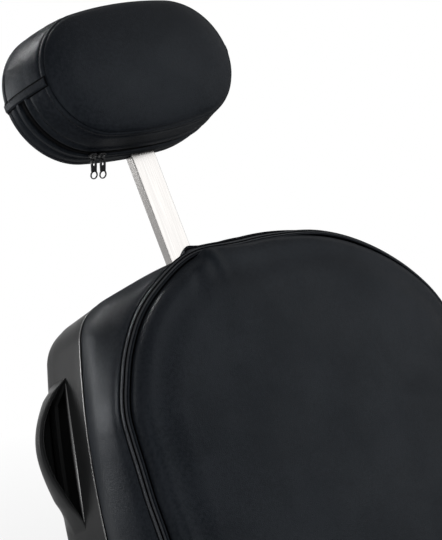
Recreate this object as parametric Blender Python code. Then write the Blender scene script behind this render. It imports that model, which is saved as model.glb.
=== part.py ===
import math

import bmesh
import bpy
import numpy as np

# Hydraulic salon chair. Metres, +Z up, the sitter faces -Y, +X is the sitter's left.
# The origin is the middle of the base's flat underside, on the column's axis.

FIT = 0.0003

# Base, pump and column
BASE_R = 0.300
BASE_T = 0.010
RING_W = 0.008
RING_H = 0.015
COVER_T = 0.002
COVER_RISE = 0.046
PUMP_R = 0.055
PUMP_TOP = 0.250
FLANGE_R = 0.085
FLANGE_T = 0.009
RAM_R = 0.030
RAM_LOW = 0.045
SLEEVE_R = 0.060
SLEEVE_LOW = 0.146
WIPER_TOP = 0.262
HUB_R = 0.048
HUB_LOW = 0.270
PLATE_LOW = 0.3453
PLATE_T = 0.008
PLATE_HALF = 0.120

# Pump pedal
PEDAL_Y = 0.086
PEDAL_Z = 0.118
PEDAL_PIN_R = 0.005
PEDAL_REACH = 0.350
PEDAL_RISE = 0.030
COLLAR_LOW = 0.098
COLLAR_TOP = 0.138
COLLAR_R = 0.063

# Seat
RAIL_X = 0.120
RAIL_W = 0.025
RAIL_H = 0.040
RAIL_WALL = 0.0025
RAIL_FRONT = -0.255
RAIL_REAR = 0.204
SEAT_HALF = 0.250
SEAT_FRONT = -0.285
SEAT_REAR = 0.205
SEAT_CORNER = 0.065
SEAT_WALL = 0.004
SEAT_RIM = 0.437
SEAT_BOARD_T = 0.012
SEAT_SEAM = 0.489
SEAT_CROWN = 0.512

# Arms
ARM_X = 0.300
ARM_Y = -0.060
ARM_BAR_W = 0.046
ARM_BAR_T = 0.010
ARM_TOP = 0.672
ARM_PAD = (0.078, 0.300, 0.034)

# Footrest
STRUT_W = 0.050
STRUT_T = 0.025
STRUT_WALL = 0.0025
STRUT_BEND_Y = -0.300
FOOT_Y = -0.478
FOOT_Z = 0.134
FOOT_R = 0.016
FOOT_HALF = 0.190
FOOT_SLEEVE_T = 0.005
FOOT_SLEEVE_IN = 0.048

# Recline hinge, gas spring and release lever
RECLINE = math.radians(33.0)
PIVOT_Y = 0.262
PIVOT_Z = 0.455
PIN_R = 0.008
HINGE_T = 0.006
HINGE_EYE_R = 0.020
HINGE_EYE_FROM = math.radians(-34.4)
HINGE_EYE_TO = math.radians(157.6)
LUG_R = 0.080
TORQUE_R = 0.008
SPRING_Y = -0.020
SPRING_LIFT = 0.0029
SPRING_R = 0.010
SPRING_END = 0.130
ROD_R = 0.005
EYE_IN = 0.0114
EYE_OUT = 0.0175
LEVER_Y = 0.080
LEVER_Z = 0.3735
LEVER_R = 0.006
LEVER_OUT = 0.272
LEVER_RUN = 0.085
LEVER_RISE = 0.014

# Back: heights run up the back from the hinge, depths run forward from it
BACK_TOP = 0.571
BACK_LOW = 0.060
BACK_HALF = 0.2235
BACK_SPREAD = 0.075
BACK_ARCH = 0.157
BACK_CORNER = 0.070
SEAM_F = 0.135
SEAM_LEAN = 0.05
SEAM_LEVEL = 0.50
CROWN_RISE = 0.020
BULGE = 0.0125
TOP_EASE = 0.5
SHELL_TOP = 0.573
SHELL_TOP_DROP = 0.65
SHELL_HALF = 0.250
SHELL_WAIST = 0.208
SHELL_SIDE_DRAW = 0.60
SHELL_LOW = 0.050
SHELL_SHOULDER = 0.052
SHELL_CORNER = 0.070
RIM_F = 0.050
SHELL_WALL = 0.004
SHELL_TAPER = 0.045
SHELL_TURN = 0.003
SHELL_TURN_F = -0.010
SHELL_REAR_F = -0.030
SHELL_BACK_F = -0.045
SHELL_BELLY = 0.006
BOARD_F = 0.019
BOARD_T = 0.012
ARM_F_LOW = -0.019
BACK_ARM_TOP = 0.400
GRIP_F = 0.015
GRIP_DEPTH = 0.045
GRIP_TOP = 0.500
GRIP_LOW = 0.346
GRIP_BULGE = 0.033
GRIP_WALL = 0.0052
GRIP_EDGE_BOW = 0.004
WINDOW_REAR_F = -0.014

# Headrest
BAR_W = 0.032
BAR_T = 0.012
BAR_F = 0.015
BAR_LOW = 0.420
BAR_TOP = 0.835
SOCKET_LOW = 0.330
SOCKET_DROP = 0.013
SOCKET_TOP = SHELL_TOP - SOCKET_DROP
SOCKET_SLIDE = 0.0004
SOCKET_WALL = 0.0033
CROSSBAR_B = 0.352
CROSSBAR_H = 0.028
CROSSBAR_T = 0.008
KNOB_DROP = 0.073
KNOB_B = SHELL_TOP - KNOB_DROP
KNOB_R = 0.021
STUD_R = 0.004
PAD_B = 0.798
PAD_W = 0.248
PAD_H = 0.148
PAD_END_R = 0.070
PAD_SEAM_F = 0.065
PAD_CROWN_F = 0.081
PAD_FLARE_W = 0.0168
PAD_FLARE_H = 0.0061
PAD_DROP = 0.0034
PAD_REAR_F = -0.003
HEAD_BOARD = (0.150, 0.090, 0.008)
ZIP_F = 0.028
ZIP_W = 0.007
ZIP_T = 0.0014
ZIP_SINK = 0.0025
CHORD_SAG = 0.0004
ZIP_RIGHT = math.radians(8.9)
ZIP_LEFT = math.radians(6.4)
PULL_LENGTH = 0.022
PULL_W = 0.0075
PULL_T = 0.0014
PULL_RING = 0.0042
BOW_H = 0.0066
BOW_GAP = 0.0028

for item in list(bpy.data.objects):
    bpy.data.objects.remove(item, do_unlink=True)


def material(name, colour, roughness, metallic):
    mat = bpy.data.materials.new(name)
    mat.use_nodes = True
    shader = mat.node_tree.nodes["Principled BSDF"]
    shader.inputs["Base Color"].default_value = (*colour, 1.0)
    shader.inputs["Roughness"].default_value = roughness
    shader.inputs["Metallic"].default_value = metallic
    return mat


LOOKS = {
    "leather": ((0.020, 0.021, 0.024), 0.45, 0.0),
    "shell_plastic": ((0.045, 0.045, 0.047), 0.42, 0.0),
    "bar_steel": ((0.80, 0.79, 0.77), 0.30, 1.0),
    "chrome": ((0.82, 0.83, 0.84), 0.08, 1.0),
    "black_steel": ((0.025, 0.025, 0.027), 0.40, 0.6),
    "zinc_steel": ((0.55, 0.55, 0.54), 0.35, 1.0),
    "rubber": ((0.018, 0.018, 0.018), 0.75, 0.0),
    "arm_foam": ((0.022, 0.022, 0.023), 0.60, 0.0),
    "plywood": ((0.45, 0.31, 0.17), 0.70, 0.0),
    "zip_metal": ((0.020, 0.020, 0.022), 0.30, 0.8),
    "zip_tape": ((0.012, 0.012, 0.013), 0.80, 0.0),
    "knob_plastic": ((0.020, 0.020, 0.021), 0.35, 0.0),
}


def add(name, verts, faces, look, parent=None, loc=(0.0, 0.0, 0.0), rot=(0.0, 0.0, 0.0)):
    mesh = bpy.data.meshes.new(name)
    mesh.from_pydata([tuple(float(c) for c in v) for v in verts], [], faces)
    work = bmesh.new()
    work.from_mesh(mesh)
    bmesh.ops.recalc_face_normals(work, faces=work.faces[:])
    work.to_mesh(mesh)
    work.free()
    thing = bpy.data.objects.new(name, mesh)
    bpy.context.scene.collection.objects.link(thing)
    thing.parent = parent
    thing.location = loc
    thing.rotation_euler = rot
    if look:
        colour, roughness, metallic = LOOKS[look]
        mesh.materials.append(material(name + "_" + look, colour, roughness, metallic))
    return thing


def axis_empty(name, loc, rot=(0.0, 0.0, 0.0), parent=None):
    empty = bpy.data.objects.new(name, None)
    bpy.context.scene.collection.objects.link(empty)
    empty.parent = parent
    empty.location = loc
    empty.rotation_euler = rot
    return empty


def combine(target, others, operation):
    bpy.context.view_layer.update()
    for other in others:
        step = target.modifiers.new("combine", "BOOLEAN")
        step.operation = operation
        step.solver = "EXACT"
        step.object = other
    graph = bpy.context.evaluated_depsgraph_get()
    shaped = bpy.data.meshes.new_from_object(target.evaluated_get(graph))
    target.modifiers.clear()
    look = list(target.data.materials)
    target.data = shaped
    shaped.materials.clear()
    for mat in look:
        shaped.materials.append(mat)
    for other in others:
        bpy.data.objects.remove(other, do_unlink=True)
    return target


def grid_faces(rows, count, closed_rows=False):
    faces = []
    for j in range(rows if closed_rows else rows - 1):
        low = j * count
        high = ((j + 1) % rows) * count
        for i in range(count):
            k = (i + 1) % count
            faces.append((low + i, low + k, high + k, high + i))
    return faces


def stack(name, rings, look, caps=True, **place):
    """Skin over a stack of rings; the first and last are closed by a fan, or all join in a loop."""
    count = len(rings[0])
    verts = [tuple(p) for ring in rings for p in ring]
    faces = grid_faces(len(rings), count, closed_rows=not caps)
    if caps:
        for row, flip in ((0, True), (len(rings) - 1, False)):
            centre = np.mean(np.array(rings[row]), axis=0)
            verts.append(tuple(centre))
            hub = len(verts) - 1
            start = row * count
            for i in range(count):
                k = (i + 1) % count
                faces.append((hub, start + k, start + i) if flip else (hub, start + i, start + k))
    return add(name, verts, faces, look, **place)


def turned(name, profile, look, count=40, **place):
    """Body of revolution about its own Z; a profile that leaves the axis is a closed ring."""
    angles = [2.0 * math.pi * i / count for i in range(count)]
    solid = profile[0][0] == 0.0
    body = profile[1:-1] if solid else profile
    verts = [(r * math.cos(a), r * math.sin(a), z) for r, z in body for a in angles]
    faces = grid_faces(len(body), count, closed_rows=not solid)
    if solid:
        for row, end in ((0, profile[0]), (len(body) - 1, profile[-1])):
            verts.append((0.0, 0.0, end[1]))
            hub = len(verts) - 1
            for i in range(count):
                faces.append((hub, row * count + i, row * count + (i + 1) % count))
    return add(name, verts, faces, look, **place)


def rod(name, radius, start, end, look, axis="Z", at=(0.0, 0.0, 0.0), count=20, **place):
    thing = turned(name, [(0.0, start), (radius, start), (radius, end), (0.0, end)], look, count, **place)
    turn_to(thing, axis)
    for vert in thing.data.vertices:
        vert.co = [vert.co[i] + at[i] for i in range(3)]
    return thing


def turn_to(thing, axis):
    """Lay a body made along Z so that its Z runs along the named axis."""
    for vert in thing.data.vertices:
        x, y, z = vert.co
        if axis == "X":
            vert.co = (z, x, y)
        elif axis == "Y":
            vert.co = (y, z, x)


def prism(name, outline, low, high, look, axis="Z", **place):
    count = len(outline)
    verts = []
    for level in (low, high):
        for u, v in outline:
            if axis == "X":
                verts.append((level, u, v))
            elif axis == "Y":
                verts.append((u, level, v))
            else:
                verts.append((u, v, level))
    faces = [tuple(range(count)), tuple(range(count, 2 * count))]
    faces += grid_faces(2, count)
    return add(name, verts, faces, look, **place)


def slab(name, size, centre, look, edge=0.0, steps=1, **place):
    thing = add(name, [], [], look, **place)
    work = bmesh.new()
    bmesh.ops.create_cube(work, size=1.0)
    for vert in work.verts:
        vert.co = [centre[i] + vert.co[i] * size[i] for i in range(3)]
    if edge:
        bmesh.ops.bevel(work, geom=work.edges[:], offset=edge, segments=steps, profile=0.5, affect="EDGES")
    bmesh.ops.recalc_face_normals(work, faces=work.faces[:])
    work.to_mesh(thing.data)
    work.free()
    return thing


def rounded_box(half_x, low_y, high_y, corner, steps=6):
    """Outline with rounded corners, counter-clockwise, starting at the right of the front edge."""
    corners = (
        (half_x - corner, low_y + corner, -0.5 * math.pi),
        (half_x - corner, high_y - corner, 0.0),
        (corner - half_x, high_y - corner, 0.5 * math.pi),
        (corner - half_x, low_y + corner, math.pi),
    )
    points = []
    for x, y, turn in corners:
        for i in range(steps + 1):
            a = turn + 0.5 * math.pi * i / steps
            points.append((x + corner * math.cos(a), y + corner * math.sin(a)))
    return np.array(points)


def evenly(points, count):
    """Even points along a closed outline."""
    loop = np.vstack([points, points[:1]])
    run = np.concatenate([[0.0], np.cumsum(np.linalg.norm(np.diff(loop, axis=0), axis=1))])
    marks = np.linspace(0.0, run[-1], count, endpoint=False)
    return np.column_stack([np.interp(marks, run, loop[:, k]) for k in range(2)])


def outward(points):
    ahead = np.roll(points, -1, axis=0) - np.roll(points, 1, axis=0)
    normal = np.column_stack([ahead[:, 1], -ahead[:, 0]])
    return normal / np.linalg.norm(normal, axis=1)[:, None]


def filleted(points, radius, steps=5):
    """Bent path: each inner corner becomes an arc."""
    path = [np.array(points[0])]
    for before, here, after in zip(points, points[1:], points[2:]):
        here = np.array(here)
        back = np.array(before) - here
        on = np.array(after) - here
        back = back / np.linalg.norm(back)
        on = on / np.linalg.norm(on)
        half = 0.5 * math.acos(float(np.clip(back @ on, -1.0, 1.0)))
        reach = radius / math.tan(half)
        for i in range(steps + 1):
            t = i / steps
            path.append(here + back * reach * (1 - t) ** 2 + on * reach * t ** 2)
    path.append(np.array(points[-1]))
    return path


def swept(name, path, across, half_u, half_v, look, wall=0.0, edge=0.0, **place):
    """Bar or open tube with a rectangular section along a flat path; across is the path plane's normal."""
    side = np.array(across, dtype=float)
    path = [np.array(p, dtype=float) for p in path]

    def section(inset):
        u = half_u - inset
        v = half_v - inset
        if not edge:
            return [(-u, -v), (u, -v), (u, v), (-u, v)]
        e = edge if not inset else 0.5 * edge
        return [(-u + e, -v), (u - e, -v), (u, -v + e), (u, v - e),
                (u - e, v), (-u + e, v), (-u, v - e), (-u, -v + e)]

    def ring(i, outline):
        ways = []
        if i > 0:
            ways.append(path[i] - path[i - 1])
        if i < len(path) - 1:
            ways.append(path[i + 1] - path[i])
        ways = [w / np.linalg.norm(w) for w in ways]
        run = sum(ways)
        run = run / np.linalg.norm(run)
        up = np.cross(side, run)
        stretch = 1.0 / max(0.3, float(run @ ways[0]))
        return [path[i] + side * u + up * v * stretch for u, v in outline]

    outer = [ring(i, section(0.0)) for i in range(len(path))]
    if not wall:
        return stack(name, outer, look, **place)
    inner = [ring(i, section(wall)) for i in range(len(path))]
    return stack(name, outer + inner[::-1], look, caps=False, **place)


# Base

turned("base_plate", [(0.0, 0.0), (BASE_R, 0.0), (BASE_R, BASE_T), (0.0, BASE_T)], "black_steel", 40)

ring_in = BASE_R + FIT
turned("base_ring", [(ring_in, 0.0), (ring_in + RING_W, 0.003), (ring_in + RING_W, RING_H - 0.003),
                     (ring_in + RING_W - 0.003, RING_H), (ring_in, RING_H)], "rubber", 40)

cover_edge = BASE_R - 0.002
cover_in = SLEEVE_R + 0.001
cover_floor = BASE_T + FIT
dome = []
for i in range(7):
    t = i / 6.0
    r = cover_edge + (cover_in - cover_edge) * t
    dome.append((r, cover_floor + 0.006 + COVER_RISE * math.sin(0.5 * math.pi * t) ** 1.6))
under = [(r, max(cover_floor, z - COVER_T - 0.0008)) for r, z in dome[1:][::-1]]
turned("base_cover", [(cover_edge, cover_floor)] + dome + under + [(cover_edge - COVER_T, cover_floor)],
       "chrome", 40)

pump_floor = BASE_T + FIT
bore = RAM_R + FIT
turned("pump_body", [(0.0, pump_floor), (FLANGE_R, pump_floor), (FLANGE_R, pump_floor + FLANGE_T),
                     (PUMP_R, pump_floor + FLANGE_T), (PUMP_R, PUMP_TOP), (bore, PUMP_TOP),
                     (bore, RAM_LOW - 0.005), (0.0, RAM_LOW - 0.005)], "black_steel", 40)
sleeve_in = PUMP_R + FIT
turned("column_sleeve", [(sleeve_in, SLEEVE_LOW), (SLEEVE_R, SLEEVE_LOW), (SLEEVE_R, PUMP_TOP),
                         (sleeve_in, PUMP_TOP)], "chrome", 32)
wiper_low = PUMP_TOP + FIT
turned("wiper_ring", [(bore + FIT, wiper_low), (SLEEVE_R, wiper_low), (SLEEVE_R, WIPER_TOP - 0.006),
                      (SLEEVE_R - 0.012, WIPER_TOP), (bore + FIT, WIPER_TOP)], "rubber", 32)

# Pump pedal: a collar on the pump carries two ears, the lever swings between them

collar = turned("pedal_bracket", [(PUMP_R + FIT, COLLAR_LOW), (COLLAR_R, COLLAR_LOW),
                                  (COLLAR_R, COLLAR_TOP), (PUMP_R + FIT, COLLAR_TOP)], "black_steel", 32)
ear_in = 0.009
ear_t = 0.006
ears = []
for side in (-1, 1):
    x = side * (ear_in + 0.5 * ear_t)
    ears.append(slab("ear", (ear_t, 0.040, 0.030), (x, PEDAL_Y - 0.008, PEDAL_Z), None, 0.002))
combine(collar, ears, "UNION")
pin_hole = rod("hole", PEDAL_PIN_R + FIT, -0.05, 0.05, None, "X", (0.0, PEDAL_Y, PEDAL_Z))
combine(collar, [pin_hole], "DIFFERENCE")
pin_half = ear_in + ear_t + 0.004
rod("pedal_pin", PEDAL_PIN_R, -pin_half, pin_half, "zinc_steel", "X", (0.0, PEDAL_Y, PEDAL_Z))

pedal_axis = axis_empty("pedal_axis", (0.0, PEDAL_Y, PEDAL_Z))
lever_half = ear_in - FIT
pedal_path = filleted([(0.0, 0.006, 0.0), (0.0, 0.085, -0.004),
                       (0.0, PEDAL_REACH - PEDAL_Y, PEDAL_RISE)], 0.060)
lever = swept("pedal_lever", pedal_path, (1, 0, 0), 0.008, 0.005, "chrome", edge=0.002, parent=None)
boss = rod("boss", 0.0105, -lever_half, lever_half, None, "X")
combine(lever, [boss], "UNION")
combine(lever, [rod("hole", PEDAL_PIN_R + FIT, -0.05, 0.05, None, "X")], "DIFFERENCE")
lever.parent = pedal_axis
pad_tilt = math.atan2(PEDAL_RISE + 0.004, PEDAL_REACH - PEDAL_Y - 0.085)
pad_hold = axis_empty("pedal_pad_seat", (0.0, PEDAL_REACH - PEDAL_Y, PEDAL_RISE), (pad_tilt, 0, 0),
                      pedal_axis)
pad = slab("pedal_pad", (0.084, 0.052, 0.022), (0.0, 0.006, 0.0), "rubber", 0.006, 2)
pocket = slab("pocket", (0.016 + 2 * FIT, 0.040, 0.010 + 2 * FIT), (0.0, -0.020 + FIT, 0.0), None)
combine(pad, [pocket], "DIFFERENCE")
pad.parent = pad_hold

# Lift and swivel

lift_axis = axis_empty("lift_axis", (0.0, 0.0, 0.0))
ram_top = PLATE_LOW - 0.010
turned("lift_ram", [(0.0, RAM_LOW), (RAM_R, RAM_LOW), (RAM_R, ram_top - 0.002), (RAM_R - 0.002, ram_top),
                    (0.0, ram_top)], "chrome", 32, parent=lift_axis)
swivel_axis = axis_empty("swivel_axis", (0.0, 0.0, 0.0), parent=lift_axis)
hub_top = PLATE_LOW - FIT
turned("swivel_hub", [(0.0, ram_top + FIT), (bore, ram_top + FIT), (bore, HUB_LOW), (HUB_R - 0.004, HUB_LOW),
                      (HUB_R, HUB_LOW + 0.004), (HUB_R, hub_top), (0.0, hub_top)], "black_steel", 36,
       parent=swivel_axis)
seat_plate = prism("seat_plate", rounded_box(PLATE_HALF + 0.022, -PLATE_HALF, PLATE_HALF, 0.02, 3),
                   PLATE_LOW, PLATE_LOW + PLATE_T, "black_steel", parent=swivel_axis)

# Seat frame

rail_low = PLATE_LOW + PLATE_T + FIT
rail_mid = rail_low + 0.5 * RAIL_H
rail_top = rail_low + RAIL_H
for side, word in ((-1, "right"), (1, "left")):
    x = side * RAIL_X
    swept("seat_rail_" + word, [(x, RAIL_FRONT, rail_mid), (x, RAIL_REAR, rail_mid)], (1, 0, 0),
          0.5 * RAIL_W, 0.5 * RAIL_H, "black_steel", wall=RAIL_WALL, parent=swivel_axis)
cross_half = RAIL_X - 0.5 * RAIL_W - FIT
cross_y = RAIL_FRONT + 0.035
swept("seat_crossbar", [(-cross_half, cross_y, rail_mid), (cross_half, cross_y, rail_mid)], (0, 1, 0),
      0.5 * RAIL_W, 0.5 * RAIL_H, "black_steel", wall=RAIL_WALL, parent=swivel_axis)

# Seat shell, board and cushion

SEAT_COUNT = 48
shell_low = rail_top + FIT
seat_mid = 0.5 * (SEAT_FRONT + SEAT_REAR)


def seat_ring(inset, z):
    corner = max(0.012, SEAT_CORNER - inset)
    dense = rounded_box(SEAT_HALF - inset, SEAT_FRONT + inset, SEAT_REAR - inset, corner, 12)
    flat = evenly(dense, SEAT_COUNT)
    return np.column_stack([flat, np.full(SEAT_COUNT, z)])


seat_floor = shell_low + SEAT_WALL
seat_rings = [seat_ring(0.060, shell_low), seat_ring(0.022, shell_low), seat_ring(0.007, shell_low + 0.006),
              seat_ring(0.001, shell_low + 0.020), seat_ring(0.0, SEAT_RIM), seat_ring(SEAT_WALL, SEAT_RIM),
              seat_ring(SEAT_WALL + 0.001, shell_low + 0.020),
              seat_ring(SEAT_WALL + 0.006, shell_low + 0.009),
              seat_ring(0.026, seat_floor), seat_ring(0.060, seat_floor)]
stack("seat_shell", seat_rings, "shell_plastic", parent=swivel_axis)
board_low = seat_floor + FIT
board_top = board_low + SEAT_BOARD_T
prism("seat_board", seat_ring(0.028, 0.0)[:, :2], board_low, board_top, "plywood", parent=swivel_axis)

seam_in = 0.010
cushion_low = board_top + FIT
wall_in = SEAT_WALL + 0.002
cushion = [seat_ring(0.060, cushion_low), seat_ring(0.014, cushion_low),
           seat_ring(wall_in, cushion_low + 0.008), seat_ring(wall_in - 0.0005, SEAT_RIM),
           seat_ring(0.000, SEAT_RIM + 0.008),
           seat_ring(-0.004, SEAT_RIM + 0.020), seat_ring(-0.002, SEAT_RIM + 0.034),
           seat_ring(0.004, SEAT_SEAM - 0.006), seat_ring(seam_in, SEAT_SEAM),
           seat_ring(seam_in + 0.004, SEAT_SEAM + 0.0005), seat_ring(seam_in + 0.0075, SEAT_SEAM - 0.0035),
           seat_ring(seam_in + 0.012, SEAT_SEAM + 0.001), seat_ring(seam_in + 0.025, SEAT_SEAM + 0.009),
           seat_ring(seam_in + 0.055, SEAT_SEAM + 0.016), seat_ring(0.130, SEAT_CROWN - 0.003),
           seat_ring(0.190, SEAT_CROWN)]
stack("seat_cushion", cushion, "leather", parent=swivel_axis)

# Arms

arm_start = RAIL_X + 0.5 * RAIL_W + FIT
for side, word in ((-1, "right"), (1, "left")):
    bend = [(side * arm_start, ARM_Y, rail_mid), (side * ARM_X, ARM_Y, rail_mid),
            (side * ARM_X, ARM_Y, ARM_TOP)]
    swept("arm_post_" + word, filleted(bend, 0.035), (0, 1, 0), 0.5 * ARM_BAR_W, 0.5 * ARM_BAR_T,
          "black_steel", edge=0.002, parent=swivel_axis)
    pad_z = ARM_TOP + FIT + 0.5 * ARM_PAD[2]
    slab("arm_pad_" + word, ARM_PAD, (side * ARM_X, ARM_Y + 0.010, pad_z), "arm_foam", 0.013, 3,
         parent=swivel_axis)

# Footrest

strut_z = PLATE_LOW - FIT - 0.5 * STRUT_T
strut_start = -(HUB_R + 0.002)
fall = np.array([FOOT_Y - STRUT_BEND_Y, FOOT_Z - strut_z])
fall = fall / np.linalg.norm(fall)
strut_end = np.array([FOOT_Y, FOOT_Z]) - fall * (FOOT_R + FIT)
strut = filleted([(0.0, strut_start, strut_z), (0.0, STRUT_BEND_Y, strut_z), (0.0, *strut_end)], 0.060)
swept("footrest_strut", strut, (1, 0, 0), 0.5 * STRUT_W, 0.5 * STRUT_T, "black_steel", wall=STRUT_WALL,
      parent=swivel_axis)
foot_hold = axis_empty("foot_bar_axis", (0.0, FOOT_Y, FOOT_Z), (0.0, 0.5 * math.pi, 0.0), swivel_axis)
turned("foot_bar", [(FOOT_R - 0.002, -FOOT_HALF), (FOOT_R, -FOOT_HALF), (FOOT_R, FOOT_HALF),
                    (FOOT_R - 0.002, FOOT_HALF)], "chrome", 20, parent=foot_hold)
for side, word in ((-1, "right"), (1, "left")):
    inner = side * FOOT_SLEEVE_IN
    stop = side * (FOOT_HALF + FIT)
    outer = side * (FOOT_HALF + 0.006)
    sleeve_r = FOOT_R + FIT
    turned("foot_sleeve_" + word, [(0.0, stop), (sleeve_r, stop), (sleeve_r, inner),
                                   (sleeve_r + FOOT_SLEEVE_T - 0.001, inner),
                                   (sleeve_r + FOOT_SLEEVE_T, inner + side * 0.002),
                                   (sleeve_r + FOOT_SLEEVE_T, outer - side * 0.004),
                                   (sleeve_r + FOOT_SLEEVE_T - 0.004, outer), (0.0, outer)],
           "rubber", 20, parent=foot_hold)

# Recline hinge plates on the seat rails

pivot = np.array([PIVOT_Y, PIVOT_Z])
hinge_in = RAIL_X + 0.5 * RAIL_W + FIT
hinge_out = hinge_in + HINGE_T


def arc(centre, radius, start, end, steps):
    return [(centre[0] + radius * math.cos(start + (end - start) * i / steps),
             centre[1] + radius * math.sin(start + (end - start) * i / steps)) for i in range(steps + 1)]


neck_y = SEAT_REAR + 0.003
hinge_shape = [(0.095, rail_low + 0.002), (RAIL_REAR - 0.012, rail_low + 0.002),
               (neck_y + 0.010, rail_mid + 0.006), (neck_y + 0.022, rail_top + 0.004)]
hinge_shape += arc(pivot, HINGE_EYE_R, HINGE_EYE_FROM, HINGE_EYE_TO, 14)
hinge_shape += [(neck_y, rail_top + 0.012), (neck_y - 0.004, rail_top - 0.001), (0.095, rail_top - 0.001)]
for side, word in ((-1, "right"), (1, "left")):
    plate = prism("seat_hinge_" + word, hinge_shape, side * hinge_in, side * hinge_out, "zinc_steel", "X")
    hole = rod("hole", PIN_R + FIT, side * (hinge_in - 0.02), side * (hinge_out + 0.02), None, "X",
               (0.0, PIVOT_Y, PIVOT_Z))
    combine(plate, [hole], "DIFFERENCE")
    plate.parent = swivel_axis

# Back frame, local to the hinge: z runs up the back and -y runs forward

back_axis = axis_empty("back_axis", (0.0, PIVOT_Y, PIVOT_Z), (-RECLINE, 0.0, 0.0), swivel_axis)
arm_in = hinge_out + FIT
arm_out = arm_in + HINGE_T
lug_b = -LUG_R * math.cos(RECLINE)
lug_f = -LUG_R * math.sin(RECLINE)
arm_f = BOARD_F - FIT
bar_mid = 0.5 * (arm_f + ARM_F_LOW)
bar_half = 0.5 * (arm_f - ARM_F_LOW)
for side, word in ((-1, "right"), (1, "left")):
    shape = [(-arm_f, BACK_ARM_TOP), (-ARM_F_LOW, BACK_ARM_TOP)]
    shape += [(-bar_mid + bar_half * math.cos(a), bar_half * math.sin(a))
              for a in np.linspace(0.0, -math.pi, 13)]
    arm = prism("back_arm_" + word, shape, side * arm_in, side * arm_out, "zinc_steel", "X")
    heading = math.atan2(lug_b, -lug_f)
    tail = arc((0.0, 0.0), 0.015, heading + 0.5 * math.pi, heading + 1.5 * math.pi, 8)
    tail += arc((-lug_f, lug_b), 0.013, heading - 0.5 * math.pi, heading + 0.5 * math.pi, 8)
    ear = prism("ear", tail, side * (arm_in + 0.0005), side * (arm_out - 0.0005), None, "X")
    combine(arm, [ear], "UNION")
    hole = rod("hole", PIN_R + FIT, side * (arm_in - 0.02), side * (arm_out + 0.02), None, "X")
    combine(arm, [hole], "DIFFERENCE")
    arm.parent = back_axis
    head = side * (arm_out + FIT)
    pin = turned("hinge_pin_" + word, [(0.0, side * (hinge_in - 0.005)), (PIN_R, side * (hinge_in - 0.005)),
                                       (PIN_R, head), (0.013, head), (0.013, head + side * 0.003),
                                       (0.010, head + side * 0.005), (0.0, head + side * 0.005)],
                 "zinc_steel", 24, parent=swivel_axis, loc=(0.0, PIVOT_Y, PIVOT_Z))
    turn_to(pin, "X")
torque_half = arm_in - FIT
torque = rod("torque_tube", TORQUE_R, -torque_half, torque_half, "zinc_steel", "X", (0.0, -lug_f, lug_b))
torque.parent = back_axis

# Locking gas spring between the seat plate and the torque tube

spring_z = PIVOT_Z - LUG_R + SPRING_LIFT
plate_top = PLATE_LOW + PLATE_T + FIT
anchor_half = 0.0075
anchor = slab("spring_anchor", (0.034, 0.030, 0.006), (0.0, SPRING_Y, plate_top + 0.003), "zinc_steel",
              0.001)
cheeks = []
for side in (-1, 1):
    x = side * (anchor_half + FIT + 0.0025)
    tall = spring_z + 0.009 - plate_top - 0.002
    cheek_z = plate_top + 0.002 + 0.5 * tall
    cheeks.append(slab("cheek", (0.005, 0.022, tall), (x, SPRING_Y, cheek_z), None, 0.001))
combine(anchor, cheeks, "UNION")
hole = rod("hole", 0.004 + FIT, -0.03, 0.03, None, "X", (0.0, SPRING_Y, spring_z))
combine(anchor, [hole], "DIFFERENCE")
anchor.parent = swivel_axis
pin = rod("spring_pin", 0.004, -0.017, 0.017, "zinc_steel", "X", (0.0, SPRING_Y, spring_z))
pin.parent = swivel_axis

spring_axis = axis_empty("spring_axis", (0.0, SPRING_Y, spring_z), parent=swivel_axis)
spring_run = SPRING_END - SPRING_Y
cylinder = turned("gas_cylinder", [(0.0, 0.012), (SPRING_R, 0.012), (SPRING_R, spring_run - 0.002),
                                   (SPRING_R - 0.002, spring_run), (ROD_R + FIT, spring_run),
                                   (ROD_R + FIT, 0.022), (0.0, 0.022)], "black_steel", 20)
turn_to(cylinder, "Y")
tongue = rod("tongue", 0.0075, -anchor_half, anchor_half, None, "X")
neck = slab("neck", (0.010, 0.016, 0.010), (0.0, 0.008, 0.0), None)
combine(cylinder, [neck, tongue], "UNION")
combine(cylinder, [rod("hole", 0.004 + FIT, -0.03, 0.03, None, "X")], "DIFFERENCE")
cylinder.parent = spring_axis
rod_end = PIVOT_Y - SPRING_Y
piston = turned("gas_rod", [(0.0, 0.052), (ROD_R, 0.052), (ROD_R, rod_end - 0.013), (0.0, rod_end - 0.013)],
                "chrome", 16)
turn_to(piston, "Y")
eye = rod("eye", EYE_OUT, -0.006, 0.006, None, "X", (0.0, rod_end, 0.0), 24)
combine(piston, [eye], "UNION")
combine(piston, [rod("hole", EYE_IN, -0.03, 0.03, None, "X", (0.0, rod_end, 0.0), 24)], "DIFFERENCE")
piston.parent = spring_axis

# Release lever on the sitter's right

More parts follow.
